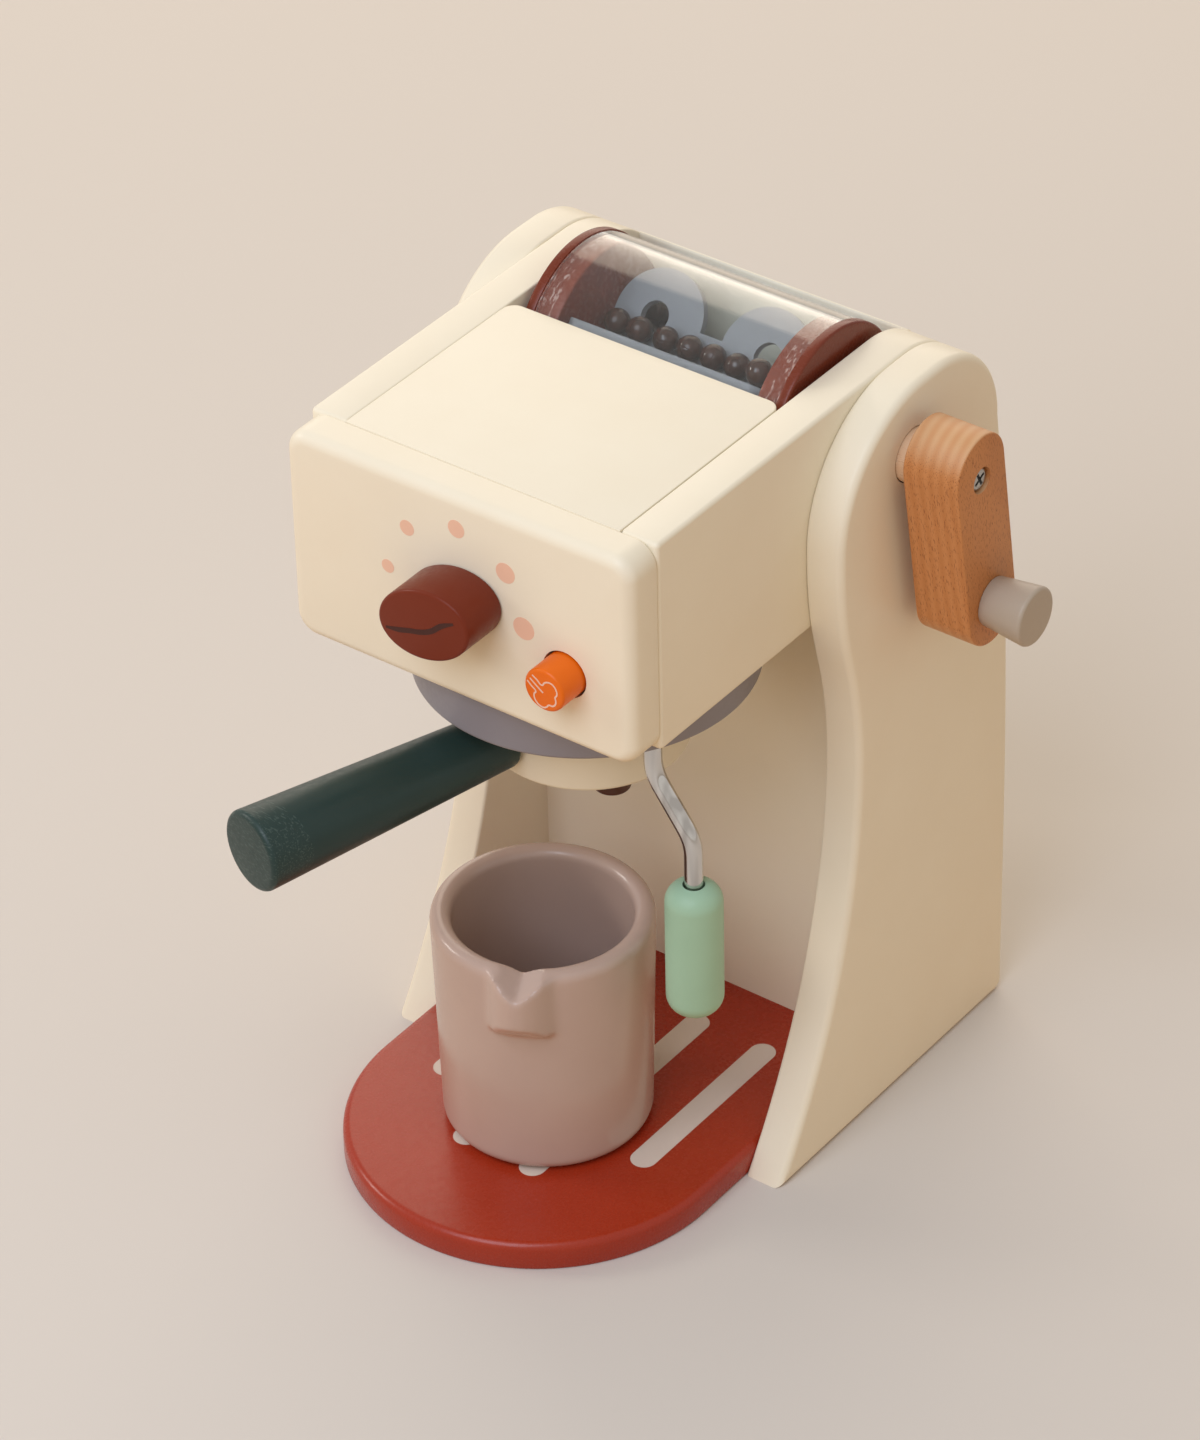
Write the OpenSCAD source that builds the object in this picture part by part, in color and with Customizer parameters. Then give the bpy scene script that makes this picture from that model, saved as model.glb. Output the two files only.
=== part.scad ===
// Toy coffee maker: a wooden play espresso machine with a crank-turned bean drum,
// a bean-shaped dial, a sprung steam button, a magnetic portafilter, a swivelling
// steam wand and a jug.
// X runs to the right, Y to the back and Z up. The origin lies on the table, on the
// machine's middle plane, level with the toes of the two side panels.

/* [Side panels] */
// Height of the side panels and of the flat top
side_h = 241.8; // [232:0.1:255]
// Thickness of a side panel
side_t = 12; // [10:0.5:14]
// Clear width between the side panels
inner_w = 116.4; // [114:0.2:124]
// Depth of a side panel along the table
side_d = 116.5; // [113:0.5:122]
// Radius of the round top of a side panel towards its front
top_r = 39; // [37:0.5:41]
// Radius of the round top of a side panel towards its back
back_top_r = 31.5; // [28:0.5:34]
// Distance of the front round's centre behind the toe
top_y = 68.5; // [67:0.5:70]
// How far back the waist of the front edge lies
waist_y = 39.4; // [36:0.2:42]
// Height of the waist of the front edge
waist_z = 128.7; // [118:0.1:138]

/* [Base and walls] */
// Thickness of the base board
base_t = 9; // [8:0.5:12]
// How far the base board's round front reaches before the toes
base_front = 78.7; // [74:0.1:86]
// Radius of the rounding along the base board's top edge
base_edge_r = 2.5; // [1:0.5:4]
// Distance of the inner wall behind the toes
wall_y = 61; // [58:0.5:64]
// Thickness of the inner wall and of the back panel
wall_t = 9; // [7:0.5:9]

/* [Head box] */
// Thickness of the head's side panels
head_side_t = 12; // [10:0.5:12.5]
// How far the head's side panels reach before the toes
head_front = 38; // [34:0.5:42]
// Thickness of the front panel
front_t = 12; // [10:0.5:14]
// Corner radius of the front panel
front_corner_r = 7; // [5:0.5:9]
// Radius of the rounding along the front panel's outer edge
front_edge_r = 3.6; // [2:0.2:4.6]
// Thickness of the top panel and of the floor panel
lid_t = 9; // [6:0.5:9.5]

/* [Bean drum] */
// Distance of the drum axis behind the toes
drum_y = 63.3; // [62:0.1:66]
// How far the drum axis lies below the flat top
drum_drop = 21.6; // [20:0.1:24]
// Gap between the drum discs and the head's floor panel
drum_floor_gap = 6.4; // [3:0.1:8]
// Outer radius of a drum disc
disc_r = 29.8; // [29:0.1:31.2]
// Thickness of a drum disc's rim
disc_t = 3; // [2:0.5:6]
// Length of a drum disc's spigot inside the tube
spigot_l = 7.2; // [5:0.1:9]
// How far a disc's rim stands out over the clear tube
disc_lip = 0.4; // [0.2:0.1:2]
// Wall of the clear tube
tube_wall = 2; // [1.5:0.1:2.5]
// Side play of the drum between the head's side panels, each side
drum_play = 2; // [1.2:0.1:2.4]
// Thickness of a paddle plate
paddle_t = 2.6; // [2:0.2:3.4]
// Gap between the plain paddle plate's edges and the tube
plain_gap = 1.5; // [0.5:0.1:4]
// Distance of the lobes' centres from the axis
lobe_rise = 10.5; // [9:0.1:11.5]
// Radius of a paddle lobe
lobe_r = 14.4; // [12:0.2:15]
// Radius of the hole in a paddle lobe
lobe_hole_r = 4.5; // [3:0.1:6]
// How far the lobed plate is shorter than the space between the discs
lobed_play = 2.4; // [1:0.1:3]
// Tilt of the plain paddle plate above the horizontal
paddle_tilt = 40; // [36:1:44]
// Diameter of a play bean
bean_d = 7.7; // [7:0.1:8]

/* [Crank] */
// Diameter of the wooden axle
axle_d = 16; // [12:0.5:18]
// How much wider than the axle its hole in the side panel is
axle_hole_gap = 0.8; // [0.4:0.1:2]
// Gap between the side panel and the crank arm
arm_gap = 4.8; // [2:0.2:8]
// Thickness of the crank arm
arm_t = 18; // [16:0.5:20]
// Width of the crank arm
arm_w = 23.1; // [21:0.1:26]
// Distance from the axle to the crank knob
arm_l = 43.9; // [38:0.1:50]
// How far the arm runs on past axle and knob before its round ends begin
arm_over = 2.7; // [0:0.1:5]
// Lean of the hanging crank arm towards the back
arm_lean = 8.7; // [0:0.1:15]
// Length of the crank knob
crank_knob_l = 14.6; // [12:0.2:20]
// Radius of the crank knob at the arm
crank_knob_r1 = 7.3; // [6:0.1:8]
// Radius of the crank knob at its outer end
crank_knob_r2 = 9; // [8:0.1:10]

/* [Dial and button] */
// Length of the bean-shaped dial
dial_l = 31.4; // [26:0.2:36]
// Width of the bean-shaped dial
dial_w = 21.8; // [20:0.2:26]
// Depth of the dial in front of the panel
dial_depth = 15.3; // [12:0.1:18]
// Turn of the dial from the horizontal
dial_turn = 18; // [0:1:45]
// Gap between the button's collar and the head's side panel
button_side_gap = 1.1; // [0.5:0.1:3]
// Height of the button above the head's underside
button_rise = 23.3; // [20:0.1:25]
// Diameter of the button
button_d = 13.1; // [11:0.1:14]
// How much wider than the button its hole is
button_hole_gap = 1.3; // [0.6:0.1:2]
// How far the button stands out of the panel
button_out = 9.3; // [7:0.1:11]
// Travel of the button
button_travel = 6; // [3:0.5:6.5]

/* [Brew group and portafilter] */
// Distance of the brew group's centre behind the toes
group_y = 6.5; // [4:0.5:8]
// Radius of the group disc
group_r = 49.4; // [45:0.1:52]
// Thickness of the group disc
group_t = 18; // [16:0.5:20]
// Radius of the portafilter head
filter_r = 29; // [26:0.5:31]
// Height of the portafilter head
filter_h = 25.7; // [24:0.1:28]
// Gap between the two magnets' faces
magnet_gap = 0.3; // [0.2:0.1:0.6]
// Turn of the handle to the left of straight ahead
handle_turn = 16.6; // [0:0.1:30]
// Distance of the handle's outer end from the group's centre
handle_reach = 115; // [100:0.5:130]
// Radius of the handle where it meets the head
handle_r1 = 8.6; // [7:0.1:9.4]
// Radius of the handle near its outer end
handle_r2 = 12.1; // [9.5:0.1:13]
// Radius of a spout
spout_r = 5.5; // [4.5:0.1:6]
// Length of a spout below the head
spout_drop = 13; // [6:0.5:14]

/* [Steam wand] */
// Gap between the wand's collar and the head's side panel
wand_side_gap = 4.5; // [3:0.1:6]
// Distance of the wand's pivot before the toes
wand_front = 12; // [11:0.2:13]
// Diameter of the wand's rod
rod_d = 5.4; // [4:0.1:5.8]
// Sideways step of the rod between its bends
wand_step = 13.5; // [11:0.5:15]
// Distance of the upper bend below the group disc
bend_drop = 13.5; // [11:0.5:16]
// Height of the slanted stretch between the bends
bend_fall = 18.5; // [17.5:0.5:22]
// Diameter of the grip
grip_d = 16.6; // [14:0.2:17]
// Length of the grip
grip_l = 44.5; // [40:0.5:54]
// Distance of the grip's upper end below the lower bend
grip_drop = 14.7; // [13:0.1:17]

/* [Jug] */
// Outer radius of the jug's foot
jug_r1 = 30.6; // [28:0.1:31.5]
// Outer radius of the jug's rim
jug_r2 = 32.4; // [31:0.1:33]
// Height of the jug
jug_h = 73; // [66:0.5:76]
// Wall of the jug
jug_wall = 5.4; // [4:0.1:6.5]
// Turn of the pouring lip to the right of straight ahead
lip_turn = 25; // [0:1:45]
// Width of the pouring lip where it leaves the wall
lip_w = 16.4; // [14:0.2:18]
// How far the pouring lip stands out of the wall
lip_out = 6.6; // [4:0.2:8]
// How far the lip's top lies below the rim
lip_sink = 3.8; // [3:0.2:5]
// Height of the pouring lip
lip_l = 17; // [14:0.5:20]

/* [Clearances] */
// Radial clearance of a running shaft in its bore
run_fit = 0.08; // [0.04:0.01:0.1]
// Radial clearance of a glued peg in its socket
peg_fit = 0.05; // [0.02:0.01:0.1]
// Gap between faces of pieces that move past each other
face_gap = 0.3; // [0.2:0.1:0.6]
// Gap between the turning drum and the back panel
drum_gap = 2.9; // [0.4:0.1:3.6]

/* [Hidden] */
$fn = 72;

cream = "#F2E9D2";
red = "#A32F1B";
walnut = "#74301A";
pale_wood = "#D9B48C";

in_x = inner_w / 2;
out_x = in_x + side_t;
head_in_x = in_x - head_side_t;
face_y = -head_front - front_t;
drum_z = side_h - drum_drop;
floor_z = drum_z - disc_r - drum_floor_gap;
head_z = floor_z - lid_t;
back_y = drum_y + disc_r + drum_gap;
lid_back = drum_y - sqrt(pow(disc_r, 2) - pow(drum_drop - lid_t, 2)) - face_gap;
dial_z = (head_z + side_h) / 2;
button_z = head_z + button_rise;
collar_r = 9.5;
button_x = head_in_x - collar_r - button_side_gap;
wand_collar_r = rod_d / 2 + 3;
wand_x = head_in_x - wand_collar_r - wand_side_gap;
disc_x = head_in_x - drum_play;
rim_x = disc_x - disc_t;
spigot_x = rim_x - spigot_l;
tube_r = disc_r - disc_lip;
bore_r = tube_r - tube_wall;
arm_x = out_x + arm_gap;
socket_depth = 8;
group_z = head_z - group_t;
filter_z = group_z - magnet_gap - filter_h;
handle_z = filter_z + filter_h / 2 - 1.6;
jug_x = -1;
jug_y = -16;
jug_z = base_t + 0.2;

// ---- helpers: points along curves, and boards with rounded edges ----

function arc(c, r, a0, a1, n) =
  [for (i = [0:n]) let (a = a0 + (a1 - a0) * i / n) c + r * [cos(a), sin(a)]];

function unit(v) = v / norm(v);

// A counter-clockwise outline moved inwards by d
function inset(pts, d) = let (n = len(pts))
  [for (i = [0:n - 1])
    let (a = unit(pts[i] - pts[(i + n - 1) % n]), b = unit(pts[(i + 1) % n] - pts[i]),
         m = [-a[1], a[0]] + [-b[1], b[0]])
    pts[i] + m * d / (1 + a * b)];

// A board of thickness t with rounded edges: r0 round its lower face, r1 round its upper
module board(pts, t, r0, r1, steps = 3) {
  n = len(pts);
  low = [for (k = [0:steps]) let (a = 90 * k / steps) [r0 * (1 - sin(a)), r0 * (1 - cos(a))]];
  top = [for (k = [0:steps]) let (a = 90 * k / steps) [r1 * (1 - cos(a)), t - r1 * (1 - sin(a))]];
  levels = concat(low, top);
  points = [for (l = levels) for (q = inset(pts, l[0])) [q[0], q[1], l[1]]];
  last = (len(levels) - 1) * n;
  sides = [for (k = [0:len(levels) - 2]) for (i = [0:n - 1]) let (j = (i + 1) % n)
    [k * n + i, (k + 1) * n + i, (k + 1) * n + j, k * n + j]];
  caps = [[for (i = [0:n - 1]) i], [for (i = [n - 1:-1:0]) last + i]];
  polyhedron(points, concat(sides, caps), convexity = 6);
}

// Local X, Y and Z turned to world Y, Z and X, and to world X, Z and -Y
module stand_x(x) { translate([x, 0, 0]) rotate([90, 0, 90]) children(); }
module face_front(y) { translate([0, y, 0]) rotate([90, 0, 0]) children(); }
module both_sides() { children(); mirror([1, 0, 0]) children(); }

module rod_x(x0, x1, r) { translate([x0, 0, 0]) rotate([0, 90, 0]) cylinder(h = x1 - x0, r = r); }
module at_drum() { translate([0, drum_y, drum_z]) children(); }

// ---- side panels ----

heel_r = 3.5;
back_curve_z = 24;
round_z = side_h - top_r;
back_round = [top_y + top_r - back_top_r, side_h - back_top_r];
back_lean = side_d - back_round[0] - back_top_r;
function back_edge(z) =
  side_d - back_lean * pow(max(z - back_curve_z, 0) / (back_round[1] - back_curve_z), 3);

// Blank of a side panel in Y and Z, before its front edge is sawn
side_blank = concat(
  [[0, 0]],
  arc([side_d - heel_r, heel_r], heel_r, -90, 0, 4),
  [for (z = [back_curve_z:(back_round[1] - back_curve_z) / 9:back_round[1] - 1]) [back_edge(z), z]],
  arc(back_round, back_top_r, 0, 90, 15),
  arc([top_y, round_z], top_r, 90, 180, 15),
  [[0, round_z]]
);

// The front edge is an S of three arcs: one from the toe up to the waist, and two equal
// ones that lead from the waist to the front of the round top
front_y = top_y - top_r;
toe_arc_r = (pow(waist_y, 2) + pow(waist_z, 2)) / (2 * waist_y);
s_rise = round_z - 3 - waist_z;
s_step = waist_y - front_y;
s_arc_r = (pow(s_rise, 2) + pow(s_step, 2)) / (4 * s_step);
module front_cut() {
  difference() {
    translate([waist_y - toe_arc_r, waist_z]) circle(toe_arc_r, $fn = 360);
    translate([-2 * toe_arc_r, waist_z]) square([4 * toe_arc_r, 2 * toe_arc_r]);
  }
  intersection() {
    translate([waist_y - s_arc_r, waist_z]) circle(s_arc_r, $fn = 360);
    translate([-1, waist_z - 1]) square([waist_y + 2, s_rise / 2 + 1]);
  }
  difference() {
    translate([-1, waist_z + s_rise / 2 - 0.01]) square([waist_y, round_z + 1 - waist_z - s_rise / 2]);
    translate([front_y + s_arc_r, waist_z + s_rise]) circle(s_arc_r, $fn = 360);
  }
}

dowel_r = 2.5;
dowel_l = 20;
dowel_y = [16, 84];
module base_dowel_set(r, l) {
  for (y = dowel_y) translate([0, y, base_t / 2]) rod_x(in_x - l / 2, in_x + l / 2, r);
}

module side_panel() {
  difference() {
    stand_x(in_x) linear_extrude(side_t) difference() {
      polygon(side_blank);
      front_cut();
    }
    base_dowel_set(dowel_r + peg_fit, dowel_l + 0.4);
  }
}
module side_panel_left() { color(cream) mirror([1, 0, 0]) side_panel(); }
module side_panel_right() {
  color(cream) difference() {
    side_panel();
    at_drum() rod_x(in_x - 1, out_x + 1, (axle_d + axle_hole_gap) / 2);
  }
}

// ---- base board and walls ----

base_cy = in_x - base_front;
module base_profile() {
  square([in_x, base_t - base_edge_r]);
  square([in_x - base_edge_r, base_t]);
  translate([in_x - base_edge_r, base_t - base_edge_r]) circle(base_edge_r);
}
module base_board() {
  color(red) difference() {
    union() {
      translate([0, base_cy, 0]) rotate([0, 0, 180]) rotate_extrude(angle = 180) base_profile();
      both_sides() translate([0, back_y, 0]) rotate([90, 0, 0])
        linear_extrude(back_y - base_cy) base_profile();
    }
    both_sides() base_dowel_set(dowel_r + peg_fit, dowel_l + 0.4);
  }
}
module base_dowels() { color(pale_wood) both_sides() base_dowel_set(dowel_r, dowel_l); }

module inner_wall() {
  color(cream) translate([-in_x, wall_y, base_t]) cube([inner_w, wall_t, head_z - base_t]);
}

// The back panel fills the width between the side panels, and above the head's
// underside the width between the head's sides; its top follows the round top
module back_panel() {
  color(cream) intersection() {
    union() {
      translate([-in_x, back_y, 0]) cube([inner_w, wall_t, head_z]);
      translate([-head_in_x, back_y, 0]) cube([2 * head_in_x, wall_t, side_h]);
    }
    stand_x(-in_x) linear_extrude(inner_w) polygon(inset(side_blank, 0.4));
  }
}

// ---- head box ----

front_dowel_r = 4;
front_dowel_l = 18;
front_dowel_inset = 14;
front_dowel_x = in_x - head_side_t / 2;
module front_dowel_set(r, l) {
  both_sides() for (z = [head_z + front_dowel_inset, side_h - front_dowel_inset])
    translate([front_dowel_x, -head_front + l / 2, z]) rotate([90, 0, 0]) cylinder(h = l, r = r);
}
module front_dowels() { color(pale_wood) front_dowel_set(front_dowel_r, front_dowel_l); }

front_outline = let (r = front_corner_r, x = in_x - r, z0 = head_z + r, z1 = side_h - r) concat(
  arc([x, z0], r, -90, 0, 6), arc([x, z1], r, 0, 90, 6),
  arc([-x, z1], r, 90, 180, 6), arc([-x, z0], r, 180, 270, 6));

spindle_r = 4;
bore_l = head_front + front_t + 1;
module head_front_panel() {
  color(cream) difference() {
    face_front(-head_front) board(front_outline, front_t, 0.8, front_edge_r);
    front_dowel_set(front_dowel_r + peg_fit, front_dowel_l + 0.4);
    face_front(0) translate([0, dial_z, 0]) cylinder(h = bore_l, r = spindle_r + run_fit);
    face_front(0) translate([button_x, button_z, 0])
      cylinder(h = bore_l, d = button_d + button_hole_gap);
  }
}

head_corner_r = 1.5;
head_side_outline = concat(
  arc([head_corner_r - head_front, head_z + head_corner_r], head_corner_r, 180, 270, 3),
  [for (z = [head_z:(back_round[1] - head_z) / 3:back_round[1] - 1]) [back_edge(z), z]],
  arc(back_round, back_top_r, 0, 90, 15),
  arc([head_corner_r - head_front, side_h - head_corner_r], head_corner_r, 90, 180, 3));
module head_side() {
  difference() {
    stand_x(head_in_x) board(head_side_outline, head_side_t, 0.8, 1.4);
    front_dowel_set(front_dowel_r + peg_fit, front_dowel_l + 0.4);
    at_drum() rod_x(head_in_x - 1, in_x + 1, axle_d / 2 + run_fit);
  }
}
module head_side_left() { color(cream) mirror([1, 0, 0]) head_side(); }
module head_side_right() { color(cream) head_side(); }

lid_corner_r = 4;
lid_outline = let (x = head_in_x, r = lid_corner_r) concat(
  [[-x, -head_front], [x, -head_front]],
  arc([x - r, lid_back - r], r, 0, 90, 5), arc([r - x, lid_back - r], r, 90, 180, 5));
module head_top_panel() {
  color(cream) translate([0, 0, side_h - lid_t]) board(lid_outline, lid_t, 0.8, 0.9);
}

screw_r = 1.8;
screw_l = 20;
screw_ring = 30;
module at_group_screws() {
  for (a = [30:120:270]) translate([screw_ring * cos(a), group_y + screw_ring * sin(a), 0])
    children();
}
module group_screws() {
  color("silver") at_group_screws() difference() {
    union() {
      translate([0, 0, floor_z - screw_l]) cylinder(h = screw_l, r = screw_r);
      translate([0, 0, floor_z]) cylinder(h = 2.2, r = 3.6);
    }
    translate([-0.5, -2, floor_z + 1]) cube([1, 4, 2]);
    translate([-2, -0.5, floor_z + 1]) cube([4, 1, 2]);
  }
}

module wand_bore() {
  translate([wand_x, -wand_front, group_z - 1])
    cylinder(h = group_t + lid_t + 2, d = rod_d + 2 * run_fit);
}
module head_floor_panel() {
  color(cream) difference() {
    translate([-head_in_x, -head_front, head_z]) cube([2 * head_in_x, back_y + head_front, lid_t]);
    wand_bore();
    at_group_screws() translate([0, 0, head_z - 1]) cylinder(h = lid_t + 2, r = screw_r + peg_fit);
  }
}

// ---- brew group ----

magnet_r = 9;
magnet_t = 3;
group_edge = 1.2;
module group_disc() {
  color("#8F8C91") difference() {
    translate([0, group_y, group_z]) rotate_extrude() polygon(concat(
      [[0, 0]], arc([group_r - group_edge, group_edge], group_edge, -90, 0, 4),
      [[group_r, group_t], [0, group_t]]));
    translate([0, group_y, group_z - 1]) cylinder(h = magnet_t + 1, r = magnet_r + peg_fit);
    at_group_screws() translate([0, 0, floor_z - screw_l - 0.5])
      cylinder(h = screw_l, r = screw_r + peg_fit);
    wand_bore();
  }
}
module group_magnet() {
  color("silver") translate([0, group_y, group_z]) cylinder(h = magnet_t, r = magnet_r);
}

// ---- bean drum ----

disc_edge = 0.8;
module drum_disc() {
  at_drum() rotate([0, 90, 0]) difference() {
    rotate_extrude() polygon(concat(
      [[0, spigot_x], [bore_r - peg_fit, spigot_x], [bore_r - peg_fit, rim_x], [disc_r, rim_x]],
      arc([disc_r - disc_edge, disc_x - disc_edge], disc_edge, 0, 90, 5), [[0, disc_x]]));
    translate([0, 0, disc_x - socket_depth]) cylinder(h = socket_depth + 1, r = axle_d / 2 + peg_fit);
  }
}
module drum_disc_left() { color(walnut) mirror([1, 0, 0]) drum_disc(); }
module drum_disc_right() { color(walnut) drum_disc(); }

module drum_tube() {
  color("#E8EEF0", 0.35) at_drum() difference() {
    rod_x(-rim_x + peg_fit, rim_x - peg_fit, tube_r);
    rod_x(-rim_x - 1, rim_x + 1, bore_r);
  }
}

// A paddle plate lies in the plane of X and its own up direction, turned about the axis
paddle_gap = 0.2;
paddle_x = spigot_x - paddle_gap;
module paddle_frame(turn) { at_drum() rotate([turn, 0, 0]) rotate([90, 0, 0]) children(); }
module paddle_slab(t) { translate([0, 0, -t / 2]) linear_extrude(t) children(); }
module cross_slot(side) {
  slot = paddle_t + 0.1;
  translate([side > 0 ? -0.1 : -paddle_x - 1, -slot / 2, -10]) cube([paddle_x + 1.1, slot, 20]);
}
plain_corner = 6;
plain_reach = bore_r - plain_gap;
plain_outline = let (x = paddle_x - plain_corner, y = plain_reach - plain_corner, r = plain_corner)
  concat(arc([x, -y], r, -90, 0, 6), arc([x, y], r, 0, 90, 6),
         arc([-x, y], r, 90, 180, 6), arc([-x, -y], r, 180, 270, 6));
module paddle_plain() {
  color("#C9CDD2", 0.6) paddle_frame(90 - paddle_tilt) difference() {
    paddle_slab(paddle_t) polygon(plain_outline);
    cross_slot(1);
  }
}

// The lobed plate has slid against the left disc; its holes sit a little outside the
// lobes' centres
lobed_shift = -lobed_play / 2;
lobe_x = paddle_x - lobed_play / 2 - lobe_r;
hole_x = lobe_x + 1.2;
module paddle_lobed() {
  color("#C9CDD2", 0.6) paddle_frame(-paddle_tilt) difference() {
    translate([lobed_shift, 0, 0]) difference() {
      paddle_slab(paddle_t) {
        square([2 * (lobe_x + lobe_r), 2 * lobe_rise], center = true);
        for (sx = [-1, 1], sy = [-1, 1]) translate([sx * lobe_x, sy * lobe_rise]) circle(lobe_r);
      }
      for (sx = [-1, 1], sy = [-1, 1]) translate([sx * hole_x, sy * lobe_rise, -5])
        cylinder(h = 10, r = lobe_hole_r);
    }
    cross_slot(-1);
  }
}

// Play beans, each placed by its distance along X, along the plain plate towards the
// front, and off that plate: a row in the crook of the two plates, one at the plate's
// front corner, a heap behind the lobed plate and two rows at the bottom of the tube
bean_gap = 0.1;
bean_pitch = bean_d + bean_gap;
bean_off = bean_d / 2 + paddle_t / 2 + bean_gap;
bean_wall = bore_r - bean_d / 2 - bean_gap;
bean_step = 2 * asin(bean_pitch / 2 / bean_wall);
bean_end = paddle_x - bean_d / 2 - bean_gap;
function round_wall(a) = [bean_wall * cos(a), bean_wall * sin(a)];
heap_low = 180 - asin(bean_off / bean_wall);
heap_a = round_wall(heap_low);
heap_b = round_wall(heap_low - bean_step);
function bean(x, p) = [x, p[0], p[1]];
row_slack = [0.9, 0.85, 2.15, 2.5, 2.85, 3.25, 3.55];
beans = concat(
  [for (i = [0:6]) bean(i * bean_pitch + row_slack[i] - bean_end, [bean_off, bean_off])],
  [bean(bean_end - 0.5, [sqrt(pow(bean_wall, 2) - pow(bean_off, 2)), bean_off])],
  [for (i = [0:2]) bean(i * bean_pitch - bean_end, heap_a)],
  [for (i = [0:1]) bean(i * bean_pitch - bean_end, heap_b)],
  [for (i = [0:1]) bean(i * bean_pitch - bean_end, heap_a + [bean_pitch, 0])],
  [bean(-bean_end, heap_b + [bean_pitch, 0])],
  [for (i = [-2:2]) bean(i * bean_pitch, round_wall(180 + paddle_tilt + bean_step / 2))],
  [for (i = [-2:2]) bean((i + 1) * bean_pitch, round_wall(180 + paddle_tilt - bean_step / 2))]
);
module coffee_beans() {
  color("#3A241E") for (b = beans)
    at_drum() rotate([-paddle_tilt, 0, 0]) translate([b[0], -b[1], b[2]]) sphere(d = bean_d, $fn = 24);
}

// ---- crank ----

axle_end = arm_x + socket_depth;
module crank_axle() {
  color(pale_wood) at_drum() difference() {
    rod_x(disc_x - socket_depth, axle_end, axle_d / 2);
    rod_x(axle_end - 18, axle_end + 1, pilot_r);
  }
}
module drum_stub_axle() {
  color(pale_wood) at_drum() rod_x(face_gap - in_x, socket_depth - disc_x, axle_d / 2);
}
module axle_washers() {
  color("#E9E4DA") both_sides() at_drum() difference() {
    rod_x(disc_x, head_in_x - face_gap, axle_d / 2 + 5);
    rod_x(disc_x - 1, head_in_x, axle_d / 2 + peg_fit);
  }
}

// The arm hangs along its own -Y, turned by its lean
pilot_r = 2.05;
arm_screw_sink = 3;
arm_screw_head_r = 3.6;
arm_screw_head_t = 2.2;
arm_screw_x = arm_x + arm_t - arm_screw_sink;
arm_outline = concat(
  arc([0, arm_over], arm_w / 2, 0, 180, 18), arc([0, -arm_l - arm_over], arm_w / 2, 180, 360, 18));
module in_arm_frame() { translate([0, drum_y, drum_z]) rotate([arm_lean, 0, 0]) children(); }
crank_peg_r = 4;
crank_peg_l = 10;
module crank_arm() {
  color("#C98F5E") in_arm_frame() difference() {
    stand_x(arm_x) board(arm_outline, arm_t, 0.5, 0.5);
    rod_x(arm_x - 1, axle_end + 0.2, axle_d / 2 + peg_fit);
    rod_x(axle_end, arm_x + arm_t, pilot_r);
    rod_x(arm_screw_x, arm_x + arm_t + 1, arm_screw_head_r + 0.4);
    translate([0, 0, -arm_l]) rod_x(arm_x + arm_t - crank_peg_l - 0.2, arm_x + arm_t + 1,
      crank_peg_r + peg_fit);
  }
}
module crank_screw() {
  color("silver") in_arm_frame() difference() {
    union() {
      rod_x(axle_end - 16, arm_screw_x + 1, pilot_r - peg_fit);
      rod_x(arm_screw_x, arm_screw_x + arm_screw_head_t, arm_screw_head_r);
    }
    for (a = [20, 110]) rotate([a, 0, 0]) translate([arm_screw_x + 1, -0.6, -2.6]) cube([2, 1.2, 5.2]);
  }
}
module crank_knob() {
  x0 = arm_x + arm_t;
  color("#B9AC9D") in_arm_frame() translate([x0, 0, -arm_l]) rotate([0, 90, 0]) {
    rotate_extrude() polygon(concat(
      [[0, -crank_peg_l], [crank_peg_r, -crank_peg_l], [crank_peg_r, 0], [crank_knob_r1, 0]],
      arc([crank_knob_r2 - 1, crank_knob_l - 1], 1, 0, 90, 4), [[0, crank_knob_l]]));
  }
}

// ---- bean dial ----

dial_y = face_y - face_gap;
dial_outline = [for (i = [0:47]) let (a = 7.5 * i) [dial_l / 2 * cos(a), dial_w / 2 * sin(a)]];
spindle_l = face_gap + front_t + 3 + socket_depth;
dial_screw_r = 1.5;
module at_dial(y) { translate([0, y, dial_z]) rotate([90, 0, 0]) children(); }
module bean_dial() {
  color(walnut) at_dial(dial_y) difference() {
    rotate([0, 0, dial_turn]) board(dial_outline, dial_depth - face_gap, 0.5, 0.8);
    translate([0, 0, -1]) cylinder(h = socket_depth + 1.2, r = spindle_r + peg_fit);
  }
}
module dial_spindle() {
  color(pale_wood) at_dial(dial_y - socket_depth + spindle_l) difference() {
    cylinder(h = spindle_l, r = spindle_r);
    translate([0, 0, -1]) cylinder(h = 11.5, r = dial_screw_r + peg_fit);
  }
}
washer_y = dial_y - socket_depth + spindle_l;
module dial_washer() {
  color("#E9E4DA") at_dial(washer_y) difference() {
    translate([0, 0, 0]) cylinder(h = washer_y + head_front - face_gap, r = 9);
    translate([0, 0, -1]) cylinder(h = 20, r = spindle_r + peg_fit);
  }
}
module dial_screw() {
  color("silver") at_dial(washer_y + 1.5) difference() {
    union() {
      cylinder(h = 1.5, r = 6);
      cylinder(h = 11, r = dial_screw_r);
    }
    for (a = [0, 90]) rotate([0, 0, a]) translate([-2, -0.5, -1]) cube([4, 1, 1.8]);
  }
}

// ---- steam button ----

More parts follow.
